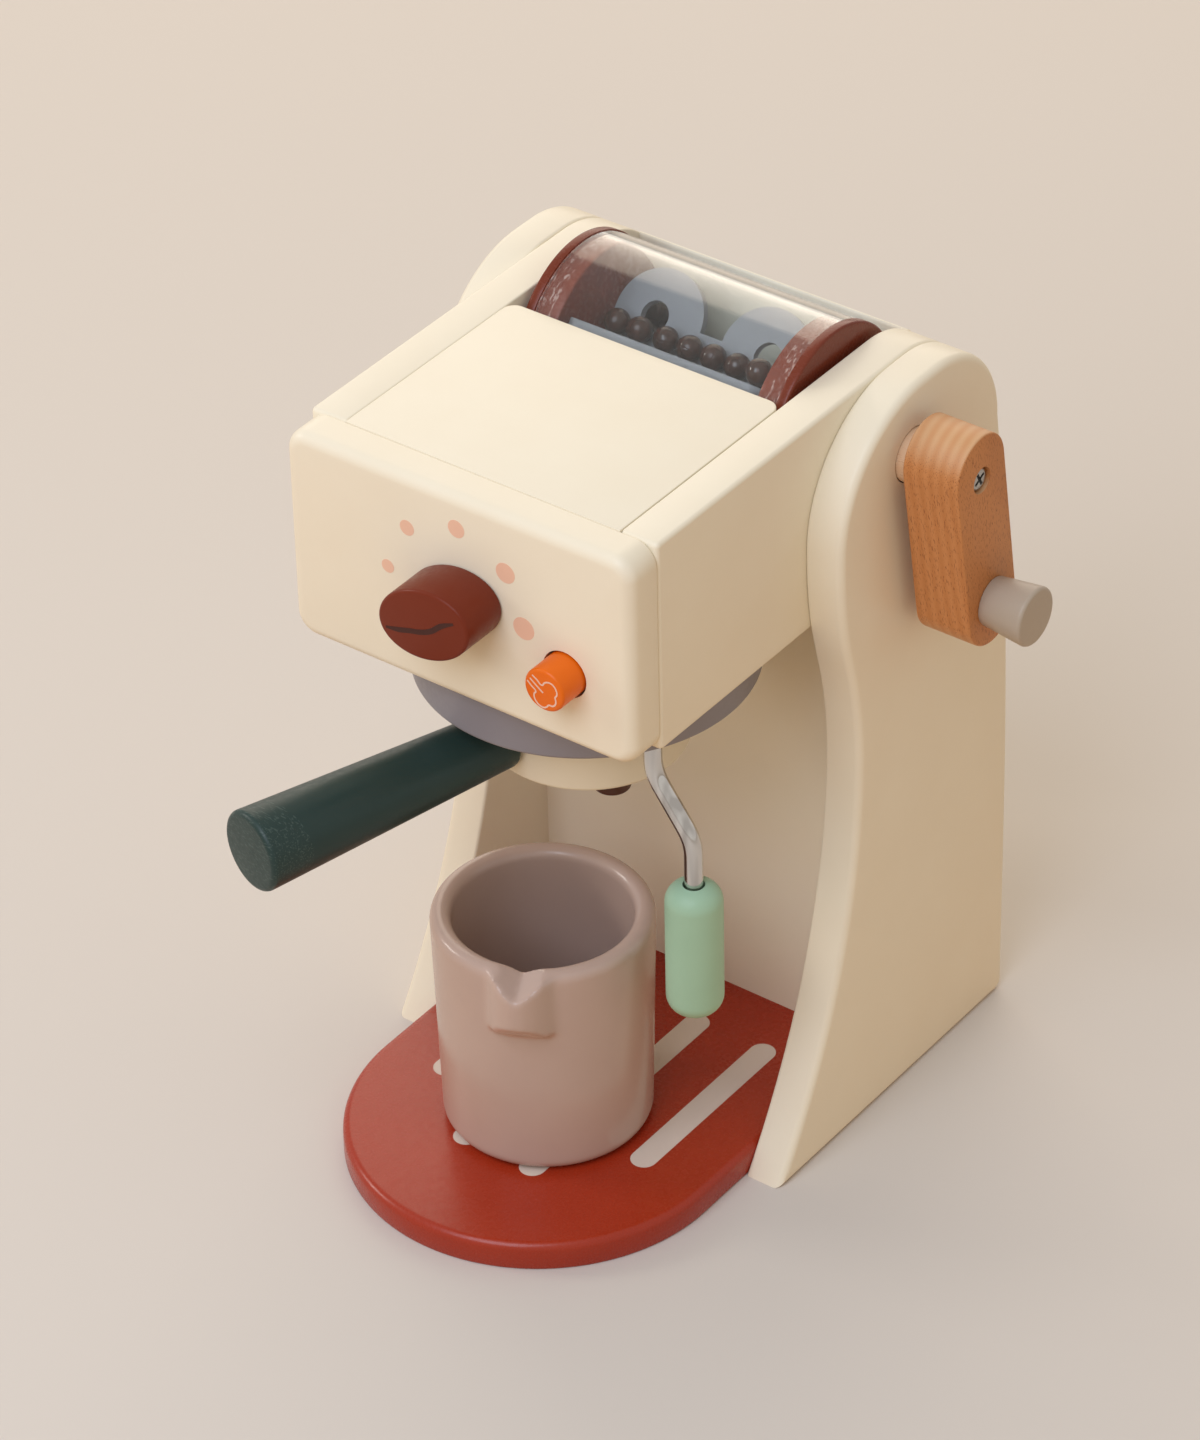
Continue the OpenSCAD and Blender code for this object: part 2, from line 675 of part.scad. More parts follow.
collar_t = 3;
button_in = 5;
button_end = -head_front + button_in;
spring_r = 4.6;
spring_wire = 0.5;
spring_turns = 7;
spring_slack = 2;
block_y = button_end + button_travel + 2 * spring_wire * spring_turns + spring_slack;
block_t = 10;
module at_button(y) { translate([button_x, y, button_z]) rotate([90, 0, 0]) children(); }
module steam_button() {
  color("#E5660E") at_button(button_end) {
    h = button_end - face_y + button_out;
    rotate_extrude() polygon(concat(
      [[0, 0], [button_d / 2, 0]], arc([button_d / 2 - 0.6, h - 0.6], 0.6, 0, 90, 3), [[0, h]]));
  }
}
module button_collar() {
  color("#E9E4DA") at_button(-head_front + face_gap + collar_t) difference() {
    cylinder(h = collar_t, r = collar_r);
    translate([0, 0, -1]) cylinder(h = collar_t + 2, r = button_d / 2 + peg_fit);
  }
}
// Wire coil from the button's end to the block, as a swept tube
spring_l = block_y - button_end - 2 * face_gap;
spring_rings = 14 * spring_turns;
spring_points = [for (i = [0:spring_rings])
  let (a = 360 * spring_turns * i / spring_rings, z = spring_wire + (spring_l - 2 * spring_wire) * i / spring_rings)
  for (k = [0:5]) let (b = 60 * k, r = spring_r + spring_wire * cos(b))
    [r * cos(a), r * sin(a), z + spring_wire * sin(b)]];
spring_faces = concat(
  [for (i = [0:spring_rings - 1]) for (k = [0:5]) let (m = (k + 1) % 6)
    [6 * i + k, 6 * i + m, 6 * i + 6 + m, 6 * i + 6 + k]],
  [[for (k = [5:-1:0]) k], [for (k = [0:5]) 6 * spring_rings + k]]);
module button_spring() {
  color("silver") at_button(block_y - face_gap) polyhedron(spring_points, spring_faces, convexity = 10);
}
module spring_block() {
  h = 15;
  x0 = button_x - 7.5;
  color(pale_wood) translate([x0, block_y, button_z - h / 2]) cube([head_in_x - x0, block_t, h]);
}

// ---- portafilter ----

module at_group(z) { translate([0, group_y, z]) children(); }
module along_handle() { rotate([0, 0, -handle_turn]) rotate([90, 0, 0]) children(); }
handle_peg_r = 5;
handle_peg_in = 16;
filter_edge = 1.5;
spout_x = 10.5;
spout_in = 5;
module at_spouts() { for (s = [-1, 1]) rotate([0, 0, -handle_turn]) translate([s * spout_x, 0, 0]) children(); }
module portafilter_head() {
  color(cream) difference() {
    at_group(filter_z) rotate_extrude() polygon(concat(
      [[0, 0]], arc([filter_r - filter_edge, filter_edge], filter_edge, -90, 0, 4),
      arc([filter_r - 0.8, filter_h - 0.8], 0.8, 0, 90, 2), [[0, filter_h]]));
    at_group(filter_z + filter_h - magnet_t) cylinder(h = magnet_t + 1, r = magnet_r + run_fit);
    at_group(handle_z) along_handle() translate([0, 0, handle_peg_in - 0.3])
      cylinder(h = filter_r, r = handle_peg_r + peg_fit);
    at_group(filter_z - 1) at_spouts() cylinder(h = spout_in + 1.2, r = spout_r + peg_fit);
  }
}
module portafilter_handle() {
  s0 = filter_r + 0.1;
  e1 = 1.6;
  e2 = 1.8;
  color("#2D423F") at_group(handle_z) along_handle() rotate_extrude() polygon(concat(
    [[0, handle_peg_in], [handle_peg_r, handle_peg_in], [handle_peg_r, s0]],
    arc([handle_r1 - e1, s0 + e1], e1, -90, 0, 4),
    arc([handle_r2 - e2, handle_reach - e2], e2, 0, 90, 5), [[0, handle_reach]]));
}
module portafilter_spouts() {
  color("#5A3626") at_group(filter_z - spout_drop) at_spouts() rotate_extrude() polygon(concat(
    [[0, 0]], arc([spout_r - 1, 1], 1, -90, 0, 3), [[spout_r, spout_drop + spout_in], [0, spout_drop + spout_in]]));
}
module portafilter_magnet() {
  color("silver") at_group(group_z - magnet_gap - magnet_t + 0.1) cylinder(h = magnet_t - 0.1, r = magnet_r);
}

// ---- steam wand ----

bend_r = 15;
rod_r = rod_d / 2;
bend_top = group_z - bend_drop;
bend_low = bend_top - bend_fall;
slant = atan2(wand_step, bend_top - bend_low);
bend_reach = bend_r * tan(slant / 2);
bend1 = [bend_r, bend_top + bend_reach];
bend2 = [wand_step - bend_r, bend_low - bend_reach];
slant_from = bend1 + bend_r * [cos(180 + slant), sin(180 + slant)];
slant_to = bend2 + bend_r * [cos(slant), sin(slant)];
collar_z = floor_z + face_gap;
wand_collar_t = 3;
rod_top = collar_z + wand_collar_t;
grip_top = bend_low - grip_drop;
grip_z = grip_top - grip_l;
grip_socket = 16;
module at_wand() { translate([wand_x, -wand_front, 0]) children(); }
// An elbow is a hair thinner than the straight lengths and runs a little into them
elbow_ease = 0.02;
elbow_overrun = 3;
module rod_elbow(c, a0) {
  translate([c[0], 0, c[1]]) rotate([90, 0, 0]) rotate([0, 0, a0 - elbow_overrun])
    rotate_extrude(angle = slant + 2 * elbow_overrun) translate([bend_r, 0])
      circle(rod_r - elbow_ease, $fn = 32);
}
module wand_rod() {
  color("silver") at_wand() {
    translate([0, 0, bend1[1]]) cylinder(h = rod_top - bend1[1], r = rod_r);
    rod_elbow(bend1, 180);
    translate([slant_from[0], 0, slant_from[1]]) rotate([0, 180 - slant, 0])
      cylinder(h = norm(slant_to - slant_from), r = rod_r);
    rod_elbow(bend2, 0);
    translate([wand_step, 0, grip_top - grip_socket]) cylinder(h = bend2[1] - grip_top + grip_socket, r = rod_r);
  }
}
module wand_collar() {
  color("silver") at_wand() translate([0, 0, collar_z]) difference() {
    cylinder(h = wand_collar_t, r = wand_collar_r);
    translate([0, 0, -1]) cylinder(h = wand_collar_t + 2, r = rod_r + peg_fit);
  }
}
grip_round = 6;
module wand_grip() {
  color("#A6CDB0") at_wand() translate([wand_step, 0, grip_z]) difference() {
    rotate_extrude() polygon(concat(
      [[0, 0]], arc([grip_d / 2 - grip_round, grip_round], grip_round, -90, 0, 8),
      arc([grip_d / 2 - grip_round, grip_l - grip_round], grip_round, 0, 90, 8), [[0, grip_l]]));
    translate([0, 0, grip_l - grip_socket - 0.2]) cylinder(h = grip_socket + 1, r = rod_r + peg_fit);
    translate([0, 0, grip_l - 4]) cylinder(h = 5, r = rod_r + 0.5);
  }
}

// ---- jug ----

jug_floor = 6;
jug_foot_r = 4;
jug_in_r = jug_r2 - jug_wall;
jug_profile = concat(
  [[0, 0]], arc([jug_r1 - jug_foot_r, jug_foot_r], jug_foot_r, -90, 0, 6),
  arc([jug_r2 - jug_wall / 2, jug_h - jug_wall / 2], jug_wall / 2, 0, 180, 10),
  arc([jug_in_r - 8, jug_floor + 6], 6, 0, -90, 5), [[0, jug_floor]]);

// The pouring lip is a wedge on the outside of the wall, with its ridge at the front
lip_ridge_r = 1.6;
lip_seat = jug_r2 - 2.2;
module jug_lip() {
  top = jug_h - lip_sink;
  tip = jug_r2 + lip_out - lip_ridge_r;
  wedge = concat([[-lip_w / 2, lip_seat], [lip_w / 2, lip_seat]], arc([0, tip], lip_ridge_r, 30, 150, 5));
  translate([0, 0, top - lip_l]) linear_extrude(lip_l) polygon(wedge);
}
notch_depth = 1;
module lip_notch() {
  low = jug_h - lip_sink - notch_depth;
  rise = lip_sink + notch_depth + 1;
  translate([0, jug_r2 + lip_out + 1, low]) rotate([90, 0, 0]) linear_extrude(2 * lip_w)
    polygon([[0, 0], [lip_w / 2, rise], [-lip_w / 2, rise]]);
}
module milk_jug() {
  color("#B9A093") translate([jug_x, jug_y, jug_z]) rotate([0, 0, 180 + lip_turn]) difference() {
    union() {
      rotate_extrude() polygon(jug_profile);
      jug_lip();
    }
    lip_notch();
  }
}

base_board();
side_panel_left();
side_panel_right();
inner_wall();
back_panel();
base_dowels();
head_front_panel();
head_side_left();
head_side_right();
head_top_panel();
head_floor_panel();
front_dowels();
spring_block();
group_disc();
group_screws();
group_magnet();
drum_disc_left();
drum_disc_right();
drum_tube();
paddle_plain();
paddle_lobed();
coffee_beans();
drum_stub_axle();
crank_axle();
axle_washers();
crank_arm();
crank_screw();
crank_knob();
bean_dial();
dial_spindle();
dial_washer();
dial_screw();
steam_button();
button_collar();
button_spring();
portafilter_magnet();
portafilter_head();
portafilter_handle();
portafilter_spouts();
wand_rod();
wand_collar();
wand_grip();
milk_jug();
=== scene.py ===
import math
import random

import bmesh
import bpy
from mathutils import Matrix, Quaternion, Vector


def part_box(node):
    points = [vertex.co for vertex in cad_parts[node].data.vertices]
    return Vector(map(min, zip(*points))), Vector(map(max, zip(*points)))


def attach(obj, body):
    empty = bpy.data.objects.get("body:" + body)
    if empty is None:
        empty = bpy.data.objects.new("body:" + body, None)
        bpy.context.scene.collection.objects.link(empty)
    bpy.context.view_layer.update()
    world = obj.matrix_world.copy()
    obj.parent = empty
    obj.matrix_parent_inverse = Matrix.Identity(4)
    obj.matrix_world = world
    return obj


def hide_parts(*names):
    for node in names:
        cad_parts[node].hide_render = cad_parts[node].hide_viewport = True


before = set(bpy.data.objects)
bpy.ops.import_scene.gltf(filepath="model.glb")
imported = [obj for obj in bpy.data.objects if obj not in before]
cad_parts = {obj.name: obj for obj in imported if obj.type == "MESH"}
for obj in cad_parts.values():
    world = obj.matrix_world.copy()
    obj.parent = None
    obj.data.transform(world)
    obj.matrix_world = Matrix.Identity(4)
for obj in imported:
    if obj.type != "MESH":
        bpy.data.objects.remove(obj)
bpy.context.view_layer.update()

# ---- Base board ----
# The foot of the machine: a 9 mm board with a round front, its upper edge rounded over
# with a router. It is sprayed with satin brick red paint and pinned between the sides.

MM = 0.001
TOUCHING, WELDED = 0.01, 0.002


def span(node):
    """Lowest and highest corner of a CAD node, in millimetres."""
    low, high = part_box(node)
    return low / MM, high / MM


def arc(centre, radius, start, end, steps):
    """Points along an arc, with its angles in degrees."""
    angles = [math.radians(start + (end - start) * i / steps) for i in range(steps + 1)]
    return [(centre[0] + radius * math.cos(a), centre[1] + radius * math.sin(a)) for a in angles]


def saw_board(outline, axis, low, high):
    """A board sawn to an outline, with its thickness along an axis from low to high."""
    bpy.ops.object.select_all(action="DESELECT")
    bpy.ops.mesh.primitive_circle_add(vertices=len(outline), fill_type="NGON")
    board = bpy.context.object
    along = "xyz".index(axis)
    for corner, point in zip(board.data.vertices, outline):
        corner.co = Vector([*point[:along], low, *point[along:]]) * MM
    thickness = Vector([0, 0, 0])
    thickness[along] = (high - low) * MM
    bpy.ops.object.mode_set(mode="EDIT")
    bpy.ops.mesh.select_all(action="SELECT")
    bpy.ops.mesh.extrude_region_move(TRANSFORM_OT_translate={"value": thickness})
    bpy.ops.mesh.select_all(action="SELECT")
    bpy.ops.mesh.normals_make_consistent(inside=False)
    bpy.ops.object.mode_set(mode="OBJECT")
    return board


def lies(item, axis, value):
    """Whether all corners of an edge or face have this coordinate, in millimetres."""
    return all(abs(corner.co["xyz".index(axis)] / MM - value) < TOUCHING for corner in item.verts)


def pick(kind, test):
    """In edit mode, selects the edges or faces that pass a test and nothing else."""
    bpy.ops.mesh.select_mode(type=kind)
    bpy.ops.mesh.select_all(action="DESELECT")
    form = bmesh.from_edit_mesh(bpy.context.edit_object.data)
    for item in form.edges if kind == "EDGE" else form.faces:
        if test(item):
            item.select_set(True)
    bmesh.update_edit_mesh(bpy.context.edit_object.data)


def round_edges(piece, radius, steps, test):
    """Rounds the edges that pass a test, as a router or sandpaper does."""
    bpy.context.view_layer.objects.active = piece
    bpy.ops.object.mode_set(mode="EDIT")
    pick("EDGE", test)
    bpy.ops.mesh.bevel(offset=radius * MM, segments=steps, affect="EDGES")
    bpy.ops.object.mode_set(mode="OBJECT")


def fit(piece, name, finish, slot, body, *nodes):
    """Names a finished piece and gives it its finish, its body and the nodes it stands for."""
    bpy.ops.object.select_all(action="DESELECT")
    piece.select_set(True)
    bpy.context.view_layer.objects.active = piece
    bpy.ops.object.transform_apply(location=True, rotation=True, scale=True)
    bpy.ops.object.mode_set(mode="EDIT")
    bpy.ops.mesh.select_all(action="SELECT")
    bpy.ops.mesh.remove_doubles(threshold=WELDED * MM)
    bpy.ops.mesh.normals_make_consistent(inside=False)
    bpy.ops.object.mode_set(mode="OBJECT")
    bpy.ops.object.shade_smooth_by_angle(angle=math.radians(33))
    piece.name = piece.data.name = name
    piece.data.materials.clear()
    piece.data.materials.append(finish)
    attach(piece, body)
    if nodes:
        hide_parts(*nodes)
    return piece


def shade(code):
    """A colour written as on a screen, turned to the linear values that shaders take."""
    values = [int(code[i:i + 2], 16) / 255 for i in (1, 3, 5)]
    return [v / 12.92 if v < 0.04045 else ((v + 0.055) / 1.055) ** 2.4 for v in values] + [1]


def wire(tree, node, values):
    """Sets up a node: lower-case keys are its settings, the others its sockets."""
    for key, value in values.items():
        if str(key).islower():
            setattr(node, key, value)
        elif isinstance(value, bpy.types.NodeSocket):
            tree.links.new(value, node.inputs[key])
        else:
            node.inputs[key].default_value = value
    return node


def add_node(tree, kind, values):
    """Adds a node with its settings and links."""
    return wire(tree, tree.nodes.new("ShaderNode" + kind), values)


def new_finish(name):
    """A new material, its node tree, its shader and the piece's own coordinates."""
    finish = bpy.data.materials.new(name)
    finish.use_nodes = True
    tree = finish.node_tree
    place = add_node(tree, "TexCoord", {}).outputs["Object"]
    return finish, tree, tree.nodes["Principled BSDF"], place


def lacquer(name, code, deep_code, roughness, peel, gloss=0.3):
    """Satin paint sprayed on wood: soft blotches and the orange-peel skin of the spray gun.

    The droplets leave a skin about 1.4 mm from crest to crest, peel millimetres deep.
    """
    finish, tree, shader, place = new_finish(name)
    blotches = add_node(tree, "TexNoise", {"Vector": place, "Scale": 1 / (22 * MM), "Detail": 3})
    tint = add_node(tree, "Mix", {
        "data_type": "RGBA", 0: blotches.outputs[0], 6: shade(code), 7: shade(deep_code)})
    skin = add_node(tree, "TexNoise", {"Vector": place, "Scale": 1 / (1.4 * MM), "Detail": 1})
    rub = add_node(tree, "MapRange", {
        0: skin.outputs[0], 1: 0.3, 2: 0.7, 3: roughness - 0.05, 4: roughness + 0.05})
    bump = add_node(tree, "Bump", {"Height": skin.outputs[0], "Strength": 1, "Distance": peel * MM})
    wire(tree, shader, {
        "Base Color": tint.outputs[2], "Roughness": rub.outputs[0], "Normal": bump.outputs[0],
        "IOR": 1.5, "Specular IOR Level": gloss})
    return finish


base_low, base_high = span("base_board")
half_width = base_high.x
front_centre = (0, base_low.y + half_width)
base_outline = arc(front_centre, half_width, 180, 360, 72)
base_outline += [(half_width, base_high.y), (-half_width, base_high.y)]
base = saw_board(base_outline, "z", base_low.z, base_high.z)
round_edges(base, 2.5, 6, lambda e: lies(e, "z", base_high.z) and not lies(e, "y", base_high.y))
round_edges(base, 0.8, 2, lambda e: lies(e, "z", base_low.z) and not lies(e, "y", base_high.y))
brick_red = lacquer("brick_red_lacquer", "#A9351B", "#9C2B11", 0.27, 0.018, 0.42)
fit(base, "base_board_red", brick_red, "red_paint", "housing", "base_board")

# The drip tray's slots are only printed: four pale bars with round ends, one paint
# layer thick, that run to the back past the jug.

greige_print = lacquer("greige_screen_print", "#E0D2C6", "#D2C3B6", 0.45, 0.012)
bar_back, bar_half, bar_depth, print_sink = 43.6, 4, 0.08, 0.02
bars = []
for bar_x, bar_front in ((-36, -23.5), (-12, -45), (12, -45), (36, -23.5)):
    bar_outline = arc((bar_x, bar_front + bar_half), bar_half, 180, 360, 16)
    bar_outline += arc((bar_x, bar_back - bar_half), bar_half, 0, 180, 16)
    bars.append(saw_board(bar_outline, "z", base_high.z - print_sink, base_high.z + bar_depth))


def join(pieces):
    """Joins like pieces into one object."""
    bpy.ops.object.select_all(action="DESELECT")
    for piece in pieces:
        piece.select_set(True)
    bpy.context.view_layer.objects.active = pieces[0]
    bpy.ops.object.join()
    return pieces[0]


fit(join(bars), "base_tray_bars", greige_print, "jug_paint", "housing")

# ---- Side panels ----
# The two tall sides are sawn from 12 mm board, with an S-shaped front edge and a round
# top, and sprayed cream. Their outer edges are rounded over, the right one is drilled.

cream_paint = lacquer("cream_satin_lacquer", "#F3ECD8", "#EFE6D0", 0.36, 0.016)
side_low, side_high = span("side_panel_right")
top_radius, top_y, back_radius = 39, 68.5, 31.5
top_z = side_high.z - top_radius
back_round = (top_y + top_radius - back_radius, side_high.z - back_radius)
back_low_z, heel = 24, 3.5
waist_y, waist_z, neck = 39.4, 128.7, 3
toe_radius = (waist_y ** 2 + waist_z ** 2) / 2 / waist_y
s_rise, s_step = top_z - neck - waist_z, waist_y - top_y + top_radius
s_radius = (s_rise ** 2 + s_step ** 2) / 4 / s_step
s_turn = math.degrees(math.asin(s_rise / 2 / s_radius))
toe_turn = math.degrees(math.asin(waist_z / toe_radius))


def back_edge(z):
    """How far back a side panel reaches at a height."""
    lean = side_high.y - back_round[0] - back_radius
    return side_high.y - lean * (max(z - back_low_z, 0) / (back_round[1] - back_low_z)) ** 3


side_outline = arc((side_high.y - heel, heel), heel, -90, 0, 6)
side_outline += [(back_edge(z), z) for z in (back_low_z + 8 * i for i in range(24))]
side_outline += arc(back_round, back_radius, 0, 90, 32)
side_outline += arc((top_y, top_z), top_radius, 90, 180, 36)
side_outline += arc((top_y - top_radius + s_radius, top_z - neck), s_radius, 180, 180 + s_turn, 10)
side_outline += arc((waist_y - s_radius, waist_z), s_radius, s_turn, 0, 10)[1:]
side_outline += arc((waist_y - toe_radius, waist_z), toe_radius, 0, -toe_turn, 24)[1:]


def turn_rod(start, end, radius, end_radius=None, sides=96):
    """A round rod or cone, turned between two points in millimetres."""
    start, end = Vector(start) * MM, Vector(end) * MM
    bpy.ops.object.select_all(action="DESELECT")
    bpy.ops.mesh.primitive_cone_add(
        vertices=sides, radius1=radius * MM, radius2=(end_radius or radius) * MM,
        depth=(end - start).length, location=(start + end) / 2,
        rotation=(end - start).to_track_quat("Z", "Y").to_euler())
    bpy.ops.object.transform_apply(location=True, rotation=True, scale=True)
    return bpy.context.object


def carve(piece, tool, operation="DIFFERENCE"):
    """Cuts a tool's shape out of a piece, or glues it on, and takes the tool away."""
    bpy.context.view_layer.objects.active = piece
    step = piece.modifiers.new("carve", "BOOLEAN")
    step.operation, step.object, step.solver = operation, tool, "EXACT"
    bpy.ops.object.modifier_apply(modifier=step.name)
    bpy.data.objects.remove(tool)


drum_low, drum_high = span("drum_tube")
drum_y, drum_z = (drum_low.y + drum_high.y) / 2, (drum_low.z + drum_high.z) / 2


def axle(start_x, end_x, radius, sides=96):
    """A rod on the drum's axis."""
    return turn_rod((start_x, drum_y, drum_z), (end_x, drum_y, drum_z), radius, sides=sides)


axle_hole = 8.4
both_sides = (("right", 1), ("left", -1))
for side, turned in both_sides:
    panel = saw_board(side_outline, "x", turned * side_low.x, turned * side_high.x)
    round_edges(panel, 2.4, 5, lambda e: lies(e, "x", turned * side_high.x))
    round_edges(panel, 0.9, 3, lambda e: lies(e, "x", turned * side_low.x))
    if side == "right":
        carve(panel, axle(side_low.x - 1, side_high.x + 1, axle_hole))
    fit(panel, "side_panel_cream_" + side, cream_paint, "cream_paint", "housing", "side_panel_" + side)

# ---- Walls ----
# A cream wall stands behind the jug, and another closes the back, both plain boards between
# the sides. The first keeps its solid; the second is 1 mm taller and rounded along its top.


def dress(finish, *nodes):
    """Gives CAD nodes that stay as they are their real finish."""
    for node in nodes:
        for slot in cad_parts[node].material_slots:
            slot.material = finish


def copy_node(node):
    """A copy of a CAD node as one skin, with its flat faces whole."""
    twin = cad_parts[node].copy()
    twin.data = twin.data.copy()
    twin.parent = None
    bpy.context.collection.objects.link(twin)
    bpy.ops.object.select_all(action="DESELECT")
    twin.select_set(True)
    bpy.context.view_layer.objects.active = twin
    bpy.ops.object.mode_set(mode="EDIT")
    bpy.ops.mesh.select_all(action="SELECT")
    bpy.ops.mesh.customdata_custom_splitnormals_clear()
    bpy.ops.mesh.remove_doubles(threshold=WELDED * MM)
    bpy.ops.mesh.dissolve_limited(angle_limit=math.radians(1))
    bpy.ops.object.mode_set(mode="OBJECT")
    return twin


dress(cream_paint, "inner_wall", "head_floor_panel")
back_wall = copy_node("back_panel")
wall_low, wall_high = span("back_panel")
wall_rise = 1
for vertex in back_wall.data.vertices:
    if vertex.co.z > back_round[1] * MM:
        vertex.co.z += wall_rise * MM
wall_top = wall_high.z + wall_rise
round_edges(back_wall, 1.8, 5, lambda e: lies(e, "y", wall_low.y) and lies(e, "z", wall_top))
sanded = back_wall.modifiers.new("sanded", "BEVEL")
sanded.width, sanded.segments, sanded.limit_method = 0.5 * MM, 3, "ANGLE"
sanded.angle_limit = math.radians(50)
bpy.ops.object.modifier_apply(modifier=sanded.name)
fit(back_wall, "back_panel_cream", cream_paint, "cream_paint", "housing", "back_panel")

# ---- Head box ----
# A box of 12 mm boards carries drum, dial and button. The thick front has round corners
# and a well rounded outer edge; it is drilled for the button and sprayed like the rest.


def round_corners(left, right, bottom, top, radius, steps):
    """A rectangle with round corners, from its top right corner on to its bottom right one."""
    points = []
    for x, z, start in (
            (right - radius, top - radius, 0), (left + radius, top - radius, 90),
            (left + radius, bottom + radius, 180), (right - radius, bottom + radius, 270)):
        points += arc((x, z), radius, start, start + 90, steps)
    return points


front_low, front_high = span("head_front_panel")
front_outline = round_corners(front_low.x, front_high.x, front_low.z, front_high.z, 7, 12)
front = saw_board(front_outline, "y", front_low.y, front_high.y)
round_edges(front, 3.6, 8, lambda e: lies(e, "y", front_low.y))
round_edges(front, 0.8, 3, lambda e: lies(e, "y", front_high.y))
button_low, button_high = span("steam_button")
button_x, button_z = (button_low.x + button_high.x) / 2, (button_low.z + button_high.z) / 2
button_hole = 7.2
carve(front, turn_rod(
    (button_x, front_low.y - 1, button_z), (button_x, front_high.y + 1, button_z), button_hole))
fit(front, "head_front_cream", cream_paint, "cream_paint", "housing", "head_front_panel")

head_low, head_high = span("head_side_right")
blunt = 1.5
head_outline = arc((head_low.y + blunt, head_low.z + blunt), blunt, 180, 270, 4)
head_outline += [(back_edge(head_low.z + 6 * i), head_low.z + 6 * i) for i in range(6)]
head_outline += arc(back_round, back_radius, 0, 90, 32)
head_outline += arc((head_low.y + blunt, head_high.z - blunt), blunt, 90, 180, 4)
axle_radius, running_fit = 8, 0.08
for side, turned in both_sides:
    cheek = saw_board(head_outline, "x", turned * head_low.x, turned * head_high.x)
    round_edges(cheek, 1.3, 4, lambda e: lies(e, "x", turned * head_high.x))
    round_edges(cheek, 0.5, 3, lambda e: lies(e, "x", turned * head_low.x))
    carve(cheek, axle(turned * (head_low.x - 1), turned * (head_high.x + 1), axle_radius + running_fit))
    fit(cheek, "head_side_cream_" + side, cream_paint, "cream_paint", "housing", "head_side_" + side)

# The lid is a 9 mm board let in flush between the sides of the head. It sits against the
# left one, so the paint bridges that seam and leaves a hairline gap at the right.

lid_low, lid_high = span("head_top_panel")
lid_corner, left_gap, right_gap, front_gap = 4, 0.05, 0.3, 0.06
lid_left, lid_right, lid_front = lid_low.x + left_gap, lid_high.x - right_gap, lid_low.y + front_gap
lid_outline = [(lid_left, lid_front), (lid_right, lid_front)]
lid_outline += arc((lid_right - lid_corner, lid_high.y - lid_corner), lid_corner, 0, 90, 8)
lid_outline += arc((lid_left + lid_corner, lid_high.y - lid_corner), lid_corner, 90, 180, 8)
lid = saw_board(lid_outline, "z", lid_low.z, lid_high.z)
round_edges(lid, 0.35, 3, lambda e: lies(e, "z", lid_high.z))
fit(lid, "head_lid_cream", cream_paint, "cream_paint", "housing", "head_top_panel")

# ---- Printed dots ----
# Five salmon dots, each larger than the one before, are printed round the dial to show
# how far it is turned.

dot_paint = lacquer("salmon_screen_print", "#F2C9B0", "#EEC0A6", 0.45, 0.02)
dial_low, dial_high = span("bean_dial")
dial_z = (dial_low.z + dial_high.z) / 2
ring_middle, ring_radius, dot_depth = -0.7, 23, 0.06
dots = []
for turn, dot_radius in ((176, 2.1), (133, 2.4), (87, 2.75), (41, 3.15), (-1.5, 3.5)):
    dot_x = ring_middle + ring_radius * math.cos(math.radians(turn))
    dot_z = dial_z + ring_radius * math.sin(math.radians(turn))
    dots.append(saw_board(
        arc((dot_x, dot_z), dot_radius, 0, 345, 23), "y", front_low.y - dot_depth, front_low.y + print_sink))
fit(join(dots), "dial_dots", dot_paint, "orange_paint", "housing")

# ---- Brew group ----
# The group head is a thick turned disc, screwed up under the head box and sprayed warm
# grey. A magnet let into it holds the portafilter.

group_low, group_high = span("group_disc")
group_centre = ((group_low.x + group_high.x) / 2, (group_low.y + group_high.y) / 2)
group_paint = lacquer("warm_grey_lacquer", "#95929A", "#87848C", 0.4, 0.02)


def post(centre, low, high, radius, sides=96):
    """An upright rod from one height to another."""
    return turn_rod((*centre, low), (*centre, high), radius, sides=sides)


magnet_hole, magnet_depth, wand_hole = 9.05, 3, 2.8
group = post(group_centre, group_low.z, group_high.z, group_high.x, 160)
round_edges(group, 1.4, 5, lambda e: lies(e, "z", group_low.z))
carve(group, post(group_centre, group_low.z - 1, group_low.z + magnet_depth, magnet_hole))
wand_low, wand_high = span("wand_collar")
wand_x, wand_y = (wand_low.x + wand_high.x) / 2, (wand_low.y + wand_high.y) / 2
carve(group, post((wand_x, wand_y), group_low.z - 1, group_high.z + 1, wand_hole, 32))
fit(group, "group_disc_grey", group_paint, "grey_paint", "housing", "group_disc")

# ---- Bean drum ----
# Two red-brown discs close a clear tube. Each is turned with a spigot that is glued into
# the tube, which leaves pale smears of glue, and its thin rim stands out over the tube.

drum_paint = lacquer("red_brown_drum_lacquer", "#7A3622", "#6C2D1A", 0.26, 0.012)


